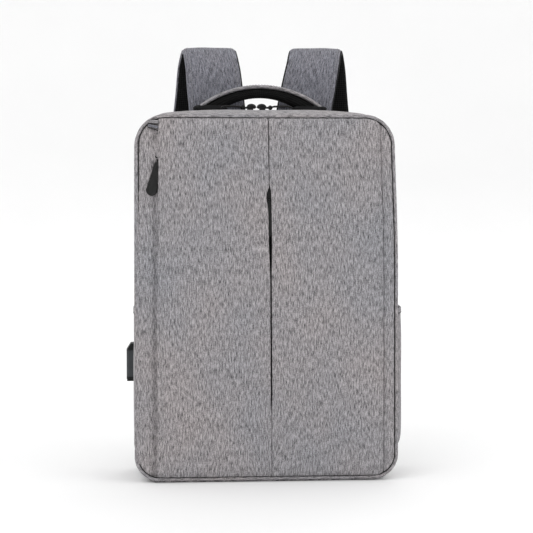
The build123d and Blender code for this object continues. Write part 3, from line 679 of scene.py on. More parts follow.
# ------------------------------------------------------------------------------------- body wall
def wall_swell(x, y, normal_z, shape):
    """How far the body wall stands out from its flat frame: each half swells between its welt and the
    main zip, the top arches from front to back by a power of the depth and from side to side by a power
    of the distance from its middle, and the top corners draw in."""
    front = np.sin(math.pi * np.clip((y - FRONT_WELT_Y) / (FRONT_WALL_END - FRONT_WELT_Y), 0, 1))
    rear = np.sin(math.pi * np.clip((y - REAR_WALL_START) / (REAR_WELT_Y - REAR_WALL_START), 0, 1))
    swell = shape.gusset_puff * (front + rear)
    top = np.clip(normal_z, 0, 1)
    arch = shape.crown_rise - (shape.crown_rise + 8.3) * np.abs(y / REAR_WELT_Y) ** 2.5
    corner = 2 * top * np.sqrt(1 - top**2)
    camber = 1.7 * np.clip(np.abs(x) / (BODY_HALF - TOP_RADIUS), 0, 1) ** 4 * np.sqrt(top) + corner
    fall = 0.4 * shape.corner_fall * camber * np.cos(y / REAR_WELT_Y)
    return swell * (1 - 0.45 * top) + arch * top**1.5 - fall


def wall_surface(name, y, edge_drop, z_start, seam_y, seed, shape, over_top=True):
    """A stretch of the body wall: the outline carried from front to back and pushed out by the swell,
    soft waves, and gathers that fade with the distance from the seams."""
    line, normal, s = ring(BODY_HALF, 0, BODY_TOP, TOP_RADIUS, BOTTOM_RADIUS, 3.0, z_start)
    if not over_top:
        full, full_normal, _ = ring(BODY_HALF, 0, BODY_TOP, TOP_RADIUS, BOTTOM_RADIUS, 3.0)
        low = full[:, 1] <= z_start
        order = np.roll(np.arange(len(full)), len(full) - np.nonzero(~low)[0][-1] - 1)
        keep = order[low[order]]
        line, normal, s = full[keep], full_normal[keep], np.arange(len(keep)) * 3.0
    S, Y = np.meshgrid(s, y, indexing="ij")
    top = np.broadcast_to(normal[:, 1:2], S.shape)
    across = np.broadcast_to(line[:, :1], S.shape)
    out = wall_swell(across, Y, top, shape) - edge_drop[None, :]
    gather = np.sin(S * TAU / 13 + 2 * np.sin(S / 31)) * shape.pucker
    for edge in seam_y:
        out += gather * np.exp(-np.abs(Y - edge) / 6)
    out += shape.unevenness * waves(S, Y, 95, seed) + 0.25 * shape.unevenness * waves(S, Y, 26, seed + 1)
    points = np.stack([
        line[:, None, 0] + normal[:, None, 0] * out,
        Y,
        line[:, None, 1] + normal[:, None, 1] * out,
    ], -1)
    if not over_top:
        points[..., 2] = np.maximum(points[..., 2], 0.05)
    uv = np.stack([Y, S], -1)
    return surface(name, lean(points), uv, [MATERIALS["cloth"]], closed=False)


def edge_rows(low, high, count, fold_low=0.0, fold_high=0.0):
    """Depths from low to high with the cloth's edges folded down by the given amounts."""
    y = np.linspace(low, high, count)
    drop = np.zeros(count)
    if fold_high:
        y = np.append(y, [high + 0.35, high + 0.45])
        drop = np.append(drop, [0.35 * fold_high, fold_high])
    if fold_low:
        y = np.insert(y, 0, [low - 0.45, low - 0.35])
        drop = np.insert(drop, 0, [fold_low, 0.35 * fold_low])
    return y, drop


def face_out(piece):
    """Turns an open surface so that its faces point away from the middle of the bag."""
    mesh = piece.data
    centre = Vector((0, 0, 0.2))
    outward = sum(
        (polygon.center - centre).dot(polygon.normal) * polygon.area for polygon in mesh.polygons
    )
    if outward < 0:
        mesh.flip_normals()
    return piece


class BACKPACK_OT_walls(Operator):
    """Makes the body walls, the base and both halves of the main zip."""

    bl_idname = "backpack.walls"
    bl_label = "Body walls"

    def execute(self, context):
        shape = context.scene.backpack_shape
        y, drop = edge_rows(FRONT_WELT_Y + 1.2, FRONT_WALL_END - 0.5, 30, fold_high=1.6)
        seams = (FRONT_WELT_Y, FRONT_WALL_END)
        front = wall_surface("front_gusset", y, drop, FRONT_WALL_LOW + 0.5, seams, 11, shape)
        walls = ("front_wall_left", "front_wall_right", "front_wall_top")
        ready(face_out(front), "front_cover", "fabric_grey", *walls)
        y, drop = edge_rows(REAR_WALL_START + 0.5, REAR_WELT_Y - 1.2, 26, fold_low=1.6)
        rear = wall_surface("rear_gusset", y, drop, PAN_TOP - 2, (REAR_WELT_Y, REAR_WALL_START), 21, shape)
        ready(face_out(rear), "root", "fabric_grey", "rear_wall_left", "rear_wall_right", "rear_wall_top")
        y, drop = edge_rows(FRONT_WELT_Y + 2.5, REAR_WELT_Y - 1.2, 40)
        base = wall_surface("base_cloth", y, drop + 0.3, PAN_TOP, (), 31, shape, over_top=False)
        ready(face_out(base), "root", "fabric_dark", "bottom_panel")
        for piece in (front, rear, base):
            add_lining(piece, WALL - 0.6)
        self.zip_half("main_zip_front", -1, LOW_ZIP_Z + 0.15, "front_cover", "main_zip_front_half", shape)
        self.zip_half("main_zip_rear", 1, LOW_ZIP_Z - 0.15, "root", "main_zip_rear_half", shape)
        return {"FINISHED"}

    def zip_half(self, name, side, low_z, body, node, shape):
        """One half of the main zip: a tape over the top and down the sides, and its row of teeth. The teeth
        are a tube whose radius swells once in each tooth pitch. The ends run forward above the base."""
        start = PAN_TOP if side > 0 else LOW_ZIP_Z + 0.15
        line, normal, s = ring(BODY_HALF, 0, BODY_TOP, TOP_RADIUS, BOTTOM_RADIUS, 4.0, start)
        y = ZIP_Y + side * np.array([0.12, 1.5, 3.5, 5.6, 7.4])
        S, Y = np.meshgrid(s, y, indexing="ij")
        top = np.broadcast_to(normal[:, 1:2], S.shape)
        out = wall_swell(np.broadcast_to(line[:, :1], S.shape), Y, top, shape) - 1.0
        points = np.stack([line[:, None, 0] + normal[:, None, 0] * out, Y,
                           line[:, None, 1] + normal[:, None, 1] * out], -1)
        uv = np.stack([Y, S], -1)
        tape = face_out(surface(f"{name}_tape", lean(points), uv, [MATERIALS["tape"]], closed=False))
        ready(tape, body, "zip_tape", node)
        solid = tape.modifiers.new("thickness", "SOLIDIFY")
        solid.thickness, solid.offset = 1.0 * MM, -1.0
        line, normal, s = ring(BODY_HALF, 0, BODY_TOP, TOP_RADIUS, BOTTOM_RADIUS, 0.42, start)
        y = ZIP_Y + side * 0.85
        out = wall_swell(line[:, 0], np.full(len(s), y), normal[:, 1], shape) - 0.55
        centres = lean(np.stack([line[:, 0] + normal[:, 0] * out, np.full(len(s), y),
                                 line[:, 1] + normal[:, 1] * out], -1))
        self.teeth(f"{name}_coil", centres, np.stack([normal[:, 0], 0 * s, normal[:, 1]], -1), s, body)
        for hand in (-1, 1):
            y_end = ZIP_Y - 0.9 if side < 0 else ZIP_Y + 0.6
            path_y = np.arange(FRONT_WELT_Y + 2.5, y_end, 0.42)
            z = np.full(len(path_y), low_z - side * 0.7)
            x = np.full(len(path_y), hand * (BODY_HALF - 0.1))
            centres = lean(np.stack([x, path_y, z], -1))
            out_way = np.tile([float(hand), 0.0, 0.0], (len(path_y), 1))
            self.teeth(f"{name}_low_coil_{'left' if hand < 0 else 'right'}", centres, out_way, path_y, body)
            z_rows = low_z - side * np.array([0.1, 1.6, 3.4, 6.0])
            path_y = np.linspace(FRONT_WELT_Y + 2.4, y_end + side * 2, 16)
            Z, Y = np.meshgrid(z_rows, path_y, indexing="ij")
            X = np.full(Z.shape, hand * (BODY_HALF - 0.95))
            places = lean(np.stack([X, Y, Z], -1))
            strip = surface(f"{name}_low_tape_{'left' if hand < 0 else 'right'}", places,
                            np.stack([Z, Y], -1), [MATERIALS["tape"]], closed=False)
            ready(face_out(strip), body, "zip_tape")
            solid = strip.modifiers.new("thickness", "SOLIDIFY")
            solid.thickness, solid.offset = 1.0 * MM, -1.0

    def teeth(self, name, centres, out, s, body):
        """A row of coil teeth along a path: a six-sided tube whose radius pulses once in 1.7 mm."""
        direction = np.gradient(centres, axis=0)
        direction /= np.linalg.norm(direction, axis=1, keepdims=True)
        across = np.cross(direction, out)
        pulse = 0.62 + 0.2 * np.cos(s * TAU / 1.7)
        section = round_section(1.0, 6)[None] * pulse[:, None, None] * np.array([1.0, 0.9])
        ready(swept(name, centres, across, out, section, [MATERIALS["coil"]]), body, "zip_tape")


class BACKPACK_OT_welts(Operator):
    """Makes the two welts round the front and the back, and the black seam thread beside them: real thread
    that also serves as painted shadow in the seam's groove.
    """

    bl_idname = "backpack.welts"
    bl_label = "Welts"

    def execute(self, context):
        for name, y, body, sign in (("front_piping", FRONT_WELT_Y, "front_cover", -1),
                                    ("rear_piping", REAR_WELT_Y, "root", 1)):
            line, normal, s = ring(WELT_HALF, WELT_BOTTOM, WELT_TOP, TOP_RADIUS, BOTTOM_RADIUS, 2.5)
            centres = np.stack([line[:, 0], np.full(len(s), y), line[:, 1]], -1)
            centres[:, 1] += 0.25 * np.sin(s / 17) * sign
            out = np.stack([normal[:, 0], 0 * s, normal[:, 1]], -1)
            across = np.tile([0.0, 1.0, 0.0], (len(s), 1))
            girth = WELT_R * (1.03 + 0.035 * np.sin(s * TAU / 9 + np.sin(s / 23) * 3))
            section = round_section(1.0, 14)[None] * girth[:, None, None]
            welt = swept(name, lean(centres), across, out, section, [MATERIALS["cloth"]], closed_path=True)
            ready(welt, body, "fabric_grey", "front_welt" if sign < 0 else "rear_welt")
            inset = WELT_R + 0.1
            line, normal, s = ring(WELT_HALF - inset, WELT_BOTTOM + inset, WELT_TOP - inset,
                                   TOP_RADIUS - inset, BOTTOM_RADIUS - inset, 2.5)
            centres = np.stack([line[:, 0], np.full(len(s), y + sign * 1.75), line[:, 1]], -1)
            out = np.stack([normal[:, 0], 0 * s, normal[:, 1]], -1)
            across = np.tile([0.0, 1.0, 0.0], (len(s), 1))
            # Black thread in the seam beside the welt; its dark line also stands in as painted shadow for
            # the groove between welt and panel.
            thread = swept(f"{name}_seam", lean(centres), across, out, round_section(0.55, 7),
                           [MATERIALS["black_thread"]], closed_path=True)
            ready(thread, body, "webbing_black")
        return {"FINISHED"}


# ----------------------------------------------------------------------------------------- front
def seam_lean(z):
    """The centre seam's place across at each height."""
    return CENTRE_SEAM + 0.1 + (150 - z) * 0.0055


def slit_opening(z, side):
    """How far a centre flap's edge stands from the seam at each height. The flaps part over the zip: most
    over its slider and, on the left, over the pull, then less and less."""
    mouth = smoothed(z, 74, 96) * (1 - smoothed(z, 324, 336))
    crease = 0.22 * smoothed(z, 340, 372)
    upper = smoothed(z, 225, 275)
    bulge = np.exp(-(((z - 321) / 9) ** 2))
    if side < 0:
        return 0.18 + crease + mouth * (0.7 + 1.15 * upper + 1.7 * bulge)
    return 0.18 + crease + mouth * (0.55 + 0.85 * upper + 0.15 * bulge)


def panel_depth(x, z, shape, seed):
    """The front panels' surface: flat, swelling slightly towards the middle, rolling down to the welt
    exponentially with the distance from it, with soft waves and gathers along the welt."""
    room = room_inside(x, z)
    around = np.arctan2(z - 210, x) * 230
    y = FACE_Y - shape.panel_puff * np.clip(room / 90, 0, 1) ** 0.7
    y = y + 6.0 * np.exp(-np.maximum(room, 0) / 3.2)
    y = y - shape.unevenness * 0.8 * waves(x, z * 0.6, 120, seed) * np.clip(room / 25, 0, 1)
    y = y - 0.22 * shape.unevenness * waves(x * 0.5, z, 22, seed + 3) * np.clip(room / 15, 0, 1)
    return y - shape.pucker * np.sin(around * TAU / 12) * np.exp(-np.maximum(room, 0) / 5)


def front_grid(x_low, x_high, columns, rows, power=1.5):
    """A grid across and up the front, closer towards its edges, that follows the welt's corners."""
    u, v = towards_edges(columns, power), towards_edges(rows, 1.35)
    x = x_low + (x_high - x_low) * u
    low, high = height_limits(x)
    X = np.broadcast_to(x[:, None], (columns, rows)).copy()
    Z = low[:, None] + (high - low)[:, None] * v[None, :]
    return X, Z


class BACKPACK_OT_front(Operator):
    """Makes the front panels, the strips beside them, the front zips and the stitching."""

    bl_idname = "backpack.front"
    bl_label = "Front panels"

    def execute(self, context):
        shape = context.scene.backpack_shape
        self.left_panel(shape)
        self.right_panel(shape)
        self.strips(shape)
        self.zips()
        self.garage()
        self.stitching(shape)
        return {"FINISHED"}

    def panel(self, name, X, Z, y, back, node, material="cloth"):
        uv = np.stack([X, Z], -1)
        front = lean(np.stack([X, y, Z], -1))
        rear = lean(np.stack([X, back, Z], -1))
        piece = two_sided(name, front, rear, uv, [MATERIALS[material]])
        return ready(piece, "front_cover", "fabric_grey", *node)

    def left_panel(self, shape):
        """The left panel: its outer edge is a folded flap over the front pocket's zip, its inner edge a
        folded flap over the centre zip."""
        X, Z = front_grid(FLAP_EDGE, CENTRE_SEAM, 74, 150, 2.4)
        u = (X - FLAP_EDGE) / (CENTRE_SEAM - FLAP_EDGE)
        wave = 0.35 * np.sin(Z / 33) + 0.2 * np.sin(Z / 11 + 1)
        inner = seam_lean(Z) - slit_opening(Z, -1)
        outer = FLAP_EDGE + wave * smoothed(Z, 20, 60) * (1 - smoothed(Z, 360, 395))
        outer += smoothed(Z, 180, 360)
        X = outer + u * (inner - outer)
        y = panel_depth(X, Z, shape, 41)
        edge = X - outer
        y += 0.75 * np.exp(-edge / 0.5) + 0.35 * np.exp(-((edge - 5.2) / 1.3) ** 2)
        centre_edge = inner - X
        y += 0.8 * np.exp(-centre_edge / 0.5) - 0.35 * np.exp(-((centre_edge - 3) / 2.4) ** 2)
        lip = np.maximum(1 - smoothed(edge, 8.5, 9.6), 1 - smoothed(centre_edge, 10.0, 11.2))
        back = np.where(lip > 0.5, y + 0.9, BACKING_Y - 0.4)
        self.panel("front_panel_left_cloth", X, Z, y, np.maximum(back, y + 0.4), ("front_panel_left",))

    def right_panel(self, shape):
        """The right panel: its inner edge is a folded flap, its outer edge sinks into the right seam."""
        X, Z = front_grid(CENTRE_SEAM, RIGHT_SEAM, 74, 150, 2.4)
        u = (X - CENTRE_SEAM) / (RIGHT_SEAM - CENTRE_SEAM)
        inner = seam_lean(Z) + slit_opening(Z, 1)
        X = inner + u * (RIGHT_SEAM - 0.25 - inner)
        y = panel_depth(X, Z, shape, 43)
        edge = X - inner
        y += 0.8 * np.exp(-edge / 0.5) - 0.3 * np.exp(-((edge - 3) / 2.4) ** 2)
        seam = RIGHT_SEAM - X
        y += 2.6 * np.exp(-seam / 1.8) + shape.pucker * 0.6 * np.sin(Z * TAU / 11) * np.exp(-seam / 5)
        back = np.where(edge < 10.6, y + 1.25, BACKING_Y - 0.4)
        self.panel("front_panel_right_cloth", X, Z, y, np.maximum(back, y + 0.4), ("front_panel_right",))

    def strips(self, shape):
        """The narrow strips between the panels and the welt. The left one dips beside the zip in a
        bell-shaped valley and hangs over the welt below its upper third."""
        half = WELT_HALF - WELT_R - 0.15
        X, Z = front_grid(-half, FLAP_EDGE + 2.0, 34, 130, 2.0)
        room = room_inside(X, Z)
        y = -54.9 - 2.6 * (1 - np.exp(-np.maximum(room, 0) / 6)) + 0.25 * waves(X, Z, 60, 5)
        y -= shape.pucker * np.sin(Z * TAU / 12 + 1) * np.exp(-np.maximum(room, 0) / 5)
        y += 1.9 * np.exp(-(((X - FLAP_EDGE + 2.0) / 3.0) ** 2))
        hang = (1 - smoothed(Z, 255, 370)) * smoothed(Z, 12, 34)
        y -= 2.3 * hang * np.exp(-np.maximum(room, 0) / 3)
        slider_z = (cad("front_slider")[0][2] + cad("front_slider")[1][2]) / 2
        y -= 3.8 * np.exp(-(((Z - slider_z - 3.5) / 8) ** 4)) * smoothed(X, FLAP_EDGE - 6, FLAP_EDGE - 2.5)
        spread = X - 2.7 * hang * (1 - smoothed(room, 0, 14))
        back = np.full(X.shape, BACKING_Y - 0.1)
        self.panel("front_strip_left_cloth", spread, Z, y, back, ("front_strip_left",))
        X, Z = front_grid(RIGHT_SEAM + 0.25, half, 26, 130, 2.0)
        room = room_inside(X, Z)
        seam = X - RIGHT_SEAM
        y = -55.0 - 5.6 * (1 - np.exp(-np.maximum(room, 0) / 4.2)) + 2.0 * np.exp(-seam / 1.8)
        y -= shape.pucker * np.sin(Z * TAU / 12 + 2) * np.exp(-np.maximum(room, 0) / 5)
        y += 0.25 * waves(X, Z, 60, 8) + shape.pucker * 0.6 * np.sin(Z * TAU / 11) * np.exp(-seam / 5)
        back = np.full(X.shape, BACKING_Y - 0.1)
        self.panel("front_strip_right_cloth", X, Z, y, back, ("front_strip_right",))

    def zips(self):
        """The two straight front zips: a flat tape and a coil whose radius pulses once a tooth."""
        for node in ("front_zip_tape", "centre_zip_tape"):
            low, high = cad(node)
            x = (low[0] + high[0]) / 2
            bed = low[1] + 1.4
            u = np.linspace(low[0] + 0.2, high[0] - 0.2, 9)
            z = np.linspace(low[2], high[2], 40)
            X, Z = np.meshgrid(u, z, indexing="ij")
            y = bed + 0.12 * np.sin(Z / 9)
            uv = np.stack([X, Z], -1)
            rear = np.stack([X, np.full(X.shape, BACKING_Y - 0.1), Z], -1)
            tape = two_sided(f"{node}_cloth", np.stack([X, y, Z], -1), rear, uv, [MATERIALS["tape"]])
            ready(tape, "front_cover", "zip_tape", node)
            z = np.arange(low[2] + 1, high[2] - 1, 0.45)
            centres = np.stack([np.full(len(z), x), np.full(len(z), bed - 0.5), z], -1)
            pulse = 0.8 + 0.2 * np.cos(z * TAU / 1.8)
            section = round_section(1.0, 8)[None] * pulse[:, None, None] * np.array([1.25, 0.85])
            coil = swept(f"{node}_coil", centres, np.tile([1.0, 0, 0], (len(z), 1)),
                         np.tile([0, -1.0, 0], (len(z), 1)), section, [MATERIALS["coil"]])
            ready(coil, "front_cover", "zip_tape")

    def garage(self):
        """The folded cloth tab that covers the top end of the front pocket's zip: short bands carried
        across the tape, each raised along a sine arch, with black bands between them as painted shadow in
        the creases."""
        low, high = cad("front_zip_tape")
        x = np.linspace(low[0] - 5.5, low[0] + 6.0, 16)
        t = (x - x[0]) / (x[-1] - x[0])
        across = np.tile([0.0, 0.0, 1.0], (16, 1))
        up = np.tile([0.0, -1.0, 0.0], (16, 1))
        tape_y, tab_top = -57.4, high[2] + 10.6
        bands = (
            # The gap and foot bands are black thread laid in the creases as painted shadow; the fold band
            # takes the strap cloth's painted-shade copy.
            ("top", 1.6, 0.6, 3.4, "cloth"),
            ("gap", 3.9, 1.6, 0.8, "black_thread"),
            ("fold", 5.9, 2.4, 3.0, "strap_cloth"),
            ("foot", 8.2, 3.6, 0.9, "black_thread"),
        )
        for name, drop, slant, width, material in bands:
            lift = 1.1 if material == "black_thread" else 1.9
            y = tape_y - lift * np.sin(math.pi * (0.15 + 0.6 * t))
            line = np.column_stack([x, y, tab_top - drop - slant * t])
            fold = swept(f"front_zip_garage_{name}", line, across, up, band_section(width, 1.2, 0.3, 5, 3),
                         [MATERIALS[material]])
            ready(fold, "front_cover", "fabric_grey")

    def stitching(self, shape):
        """Rows of stitches beside the flap edge and on both sides of the right seam."""
        z = np.linspace(16, 398, 150)
        for name, x in (("flap_stitches", FLAP_EDGE + 5.2), ("right_seam_stitches", RIGHT_SEAM - 3.4),
                        ("right_strip_stitches", RIGHT_SEAM + 3.2)):
            X = np.full(z.shape, x)
            if x < 0:
                y = panel_depth(X, z, shape, 41) + 0.30
            elif x < RIGHT_SEAM:
                y = panel_depth(X, z, shape, 43) + 2.6 * np.exp(-3.4 / 1.8)
            else:
                room = room_inside(X, z)
                y = -55.0 - 5.6 * (1 - np.exp(-np.maximum(room, 0) / 4.2)) + 2.0 * np.exp(-3.2 / 1.8)
            line = lean(np.stack([X, y - 0.05, z], -1))
            forward = np.array([0.0, -1.0, 0.0])
            stitch_row(name, line, forward, MATERIALS["thread"], "front_cover", radius=0.22)


# ------------------------------------------------------------------------------------------ pockets
class BACKPACK_OT_pockets(Operator):
    """Makes the two side pockets with their bound top edges."""

    bl_idname = "backpack.pockets"
    bl_label = "Side pockets"

    def execute(self, context):
        for side, hand in ((-1, "left"), (1, "right")):
            low, high = cad(f"side_pocket_{hand}")
            v = towards_edges(60, 1.2)
            turn = np.linspace(0, math.pi, 44)
            depth = high[0] - low[0]
            V, T = np.meshgrid(v, turn, indexing="ij")
            z = low[2] + 1 + (high[2] - low[2] - 1) * V
            middle, reach = (low[1] + high[1]) / 2, (high[1] - low[1]) / 2
            full = np.sin(T) ** 0.55
            squash = 1 - 0.85 * np.exp(-V * (30 if side > 0 else 14)) - 0.12 * smoothed(V, 0.8, 1.0)
            out = BODY_HALF + 0.4 + (depth + (2.6 if side > 0 else -3.0)) * full * squash
            out += 0.45 * waves(z, T * 20, 70, 61 + side) * full
            y = middle - (reach + 1.2) * np.cos(T) * (1 - 0.10 * (1 - squash))
            z = z + 3.0 * V * (0.5 - T / math.pi) * (-1)
            points = np.stack([side * out, y, z], -1)
            pocket = surface(f"side_pocket_{hand}_cloth", lean(points), np.stack([T * 22, z], -1),
                             [MATERIALS["cloth"]], closed=False)
            mesh = pocket.data
            tilt = sum(polygon.normal.x * polygon.area for polygon in mesh.polygons)
            if tilt * side < 0:
                mesh.flip_normals()
            ready(pocket, "front_cover", "fabric_grey", f"side_pocket_{hand}")
            add_lining(pocket, 1.1)
            rim = lean(points)[-1]
            direction = np.gradient(rim, axis=0)
            direction /= np.linalg.norm(direction, axis=1, keepdims=True)
            up = np.tile([0.0, 0.0, 1.0], (len(rim), 1))
            across = np.cross(direction, up)
            hem = swept(f"side_pocket_{hand}_hem", rim + np.array([-0.5 * side, 0, -2.2]), up, across,
                        band_section(5.5, 2.1, 0.2, 6, 3), [MATERIALS["cloth"]])
            ready(hem, "front_cover", "fabric_grey")
            edge = swept(f"side_pocket_{hand}_edge", rim + np.array([0.45 * side, 0, -5.1]), up, across,
                         round_section(0.42, 6), [MATERIALS["black_thread"]])
            ready(edge, "front_cover", "webbing_black")
        return {"FINISHED"}


# ------------------------------------------------------------------------------------- straps
STRAP_ROUTE = [
    (51.5, 61.0, 391), (52, 63.6, 400), (56, 64.5, 440), (60, 69, 474), (65, 86, 492), (69.5, 104, 478),
    (73, 112, 440), (85, 113, 330), (92, 104, 230), (98, 96, 171),
]


def outward_of(direction):
    """The direction square to a band's path and to X: it points to the band's outer side."""
    out = np.stack([0 * direction[:, 0], -direction[:, 2], direction[:, 1]], -1)
    return out / np.linalg.norm(out, axis=1, keepdims=True)


class BACKPACK_OT_straps(Operator):
    """Makes the shoulder straps with their mesh undersides, binding, webbing and end loops."""

    bl_idname = "backpack.straps"
    bl_label = "Shoulder straps"

    def execute(self, context):
        for side, hand in ((-1, "left"), (1, "right")):
            body = f"strap_{hand}"
            route = [(side * x, y, z) for x, y, z in STRAP_ROUTE]
            line, direction = smooth_route(route, 150)
            s = running_length(line)
            out = outward_of(direction)
            shift = 6.0 + (2.0 - 2.0 * side) * smoothed(s, 60, 160)
            shift -= 2.4 * (1 + side) * (1 - smoothed(s, 25, 95))
            line[:, 0] += shift * (1 - smoothed(s, 230, 400))
            across = np.tile([float(side), 0.0, 0.0], (len(s), 1))
            self.padded_strap(hand, body, line, across, out, s)
            self.loop(hand, body, direction[-1], out[-1], side)
            self.webbing(hand, body, side)
        return {"FINISHED"}

    def padded_strap(self, hand, body, line, across, out, s):
        """The strap's width narrows over its last third. Its section is a flat band with round edges and
        crowned faces; the outer face and the edges are cloth and the inner face is mesh. Cross ripples
        gather on the inner side where it bends over the shoulder."""
        t = s / s[-1]
        width = 65 - 21 * np.clip((t - 0.66) / 0.34, 0, 1) ** 1.2 - 3 * np.exp(-(((s - 105) / 40) ** 2))
        thick = 9.0 - 5.0 * np.exp(-s / 9) - 3.5 * np.exp(-(s[-1] - s) / 10)
        base = band_section(1.0, 0.13, 0.0, 17, 5)
        flat_count, edge_count = 17, 5
        x = base[:, 0] / 0.5
        section = np.empty((len(s), len(base), 2))
        section[..., 0] = base[None, :, 0] * width[:, None]
        profile = np.sign(base[:, 1]) * np.abs(base[:, 1] / 0.065) ** 1.0
        crown = 0.72 + 0.28 * (1 - np.abs(x) ** 3)
        section[..., 1] = profile[None] * crown[None] * thick[:, None] / 2
        bend = np.exp(-(((s - 115) / 34) ** 2))
        ripple = np.sin(s * TAU / 11 + 0.6 * np.sin(s / 9)) * bend * 0.55
        inner = (profile < -0.5).astype(float)
        section[..., 1] += inner[None] * ripple[:, None]
        section[..., 1] += 0.3 * waves(s[:, None], base[None, :, 0] * 65, 50, 71)
        piece_columns = len(base)
        slots = np.zeros(piece_columns, dtype=int)
        first_inner = flat_count + edge_count
        slots[first_inner - 3: first_inner + flat_count + 2] = 1
        strap = swept(f"shoulder_strap_{hand}", line, across, out, section,
                      [MATERIALS["strap_cloth"], MATERIALS["strap_mesh"]], column_slots=slots)
        ready(strap, body, "fabric_grey", f"strap_cover_{hand}", f"strap_foam_{hand}", f"strap_mesh_{hand}")
        for edge in (-1, 1):
            offset = edge * (width / 2 - 0.6)
            centre = line + across * offset[:, None] - out * 0.4
            section = round_section(1.0, 8) * np.array([1.5, 2.3])
            material = "strap_cloth" if (edge, hand) == (1, "left") else "webbing"
            rim = swept(f"strap_{hand}_binding_{'inner' if edge < 0 else 'outer'}", centre, across, out,
                        section, [MATERIALS[material]])
            ready(rim, body, "fabric_grey")
            seam = line + across * (offset - edge * 4.5)[:, None] + out * (thick / 2 * 0.93)[:, None]
            stitch_row(f"strap_{hand}_stitches_{'inner' if edge < 0 else 'outer'}", seam[4:-4], out[4:-4],
                       MATERIALS["thread"], body, radius=0.2)

    def loop(self, hand, body, direction, out, side):
        """The webbing loop that holds the ladder lock: a flat band bent round an oval."""
        low, high = cad(f"strap_end_loop_{hand}")
        down = np.array([0.0, direction[1], direction[2]])
        down /= np.linalg.norm(down)
        turn = np.linspace(0, TAU, 40, endpoint=False)
        reach, thick = 12.3, 3.1
        along = np.sign(np.cos(turn)) * np.abs(np.cos(turn)) ** 0.55 * reach
        aside = np.sign(np.sin(turn)) * np.abs(np.sin(turn)) ** 0.7 * thick
        middle = np.array([(low[0] + high[0]) / 2, (low[1] + high[1]) / 2, (low[2] + high[2]) / 2])
        centres = middle + along[:, None] * down + aside[:, None] * out
        direction_around = np.roll(centres, -1, axis=0) - np.roll(centres, 1, axis=0)
        direction_around /= np.linalg.norm(direction_around, axis=1, keepdims=True)
        across = np.tile([1.0, 0.0, 0.0], (len(turn), 1))
        normal = np.cross(across, direction_around)
        ring_piece = swept(f"strap_loop_{hand}", centres, across, normal, band_section(25, 1.4, 0, 6, 2),
                           [MATERIALS["webbing"]], closed_path=True)
        ready(ring_piece, body, "webbing_black", f"strap_end_loop_{hand}")
        low, high = cad(f"strap_tail_{hand}")
        x = (low[0] + high[0]) / 2
        y, top = high[1], high[2]
        route = [(x, y - 2.2, top), (x, y - 2.8, top - 14), (x, y - 1.0, top - 45),
                 (x - side * 1.0, y - 2.6, top - 78), (x, y - 1.8, low[2] + 1)]
        line, direction = smooth_route(route, 40)
        across = np.tile([1.0, 0, 0], (40, 1))
        tail = swept(f"strap_tail_{hand}_webbing", line, across, outward_of(direction),
                     band_section(25, 1.4, 0, 6, 2), [MATERIALS["webbing"]])
        ready(tail, body, "webbing_black", f"strap_tail_{hand}")

    def webbing(self, hand, body, side):
        """The webbing from the bag's bottom corner up to the ladder lock. It bends between the two."""
        lock_low, lock_high = cad(f"ladder_lock_{hand}")
        lock = (lock_low + lock_high) / 2
        foot_x = side * 126.0
        route = [(lock[0], lock[1] + 0.4, lock[2] + 3), (lock[0], lock[1] - 2.2, lock[2] - 12),
                 (side * 108, 79, 88), (side * 118, 68, 60), (side * 125, 62, 38), (foot_x, 60.6, 17)]
        line, direction = smooth_route(route, 60)
        band = swept(f"lower_strap_{hand}", line, np.tile([1.0, 0, 0], (60, 1)), outward_of(direction),
                     band_section(25, 1.5, 0, 7, 2), [MATERIALS["webbing"]])
        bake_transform(band)
        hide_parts(f"lower_webbing_{hand}")


# -------------------------------------------------------------------------------------- flat solids
def lozenge(name, outline, centre, levels, place, materials):
    """A closed flat solid from rings: each ring is the outline drawn towards the centre by the level's
    first number, at the height of its second. place turns (across, along, height) into points."""
    rings = []
    for share, height in levels:
        flat = centre + share * (outline - centre)
        rings.append(np.column_stack([flat, np.broadcast_to(height, len(flat))]))
    local = np.stack(rings)
    closed = np.concatenate([local, local[:, :1]], axis=1)
    return surface(name, place(local), closed[..., :2], materials, close_columns=True, caps=True)


def dome_levels(front, back, rim, rings=9, power=3.0):
    """Levels of a lozenge: both faces are domes, each one minus the distance from the middle to a power."""
    share = np.sin(np.linspace(0.06, 1, rings) * math.pi / 2)
    top = [(s, rim + (front - rim) * (1 - s**power) ** 0.6) for s in share]
    bottom = [(s, rim + (back - rim) * (1 - s**power) ** 0.6) for s in share[-2::-1]]
    return top + bottom


def rounded_outline(half_width, half_height, power=5.0, count=96):
    """A rounded rectangle: a superellipse, whose sides' powers add up to one."""
    turn = np.arange(count) * TAU / count
    c, s = np.cos(turn), np.sin(turn)
    x = np.sign(c) * np.abs(c) ** (2 / power) * half_width
    z = np.sign(s) * np.abs(s) ** (2 / power) * half_height
    return np.column_stack([x, z])


def project_uv(piece):
    """Gives a piece the UV map of its shadow on the XZ plane, in metres."""
    mesh = piece.data
    points = np.empty(len(mesh.vertices) * 3)
    mesh.vertices.foreach_get("co", points)
    corners = np.empty(len(mesh.loops), dtype=np.int64)
    mesh.loops.foreach_get("vertex_index", corners)
    layer = mesh.uv_layers.get("UVMap") or mesh.uv_layers.new(name="UVMap")
    layer.data.foreach_set("uv", points.reshape(-1, 3)[corners][:, [0, 2]].ravel())


def reshape(piece, move):
    """Moves every vertex of a piece by a function of its place, in millimetres."""
    mesh = piece.data
    points = np.empty(len(mesh.vertices) * 3)
    mesh.vertices.foreach_get("co", points)
    points = points.reshape(-1, 3) / MM
    mesh.vertices.foreach_set("co", (move(points) * MM).ravel())
    mesh.update()


CUSHION_CELL = 0.0025


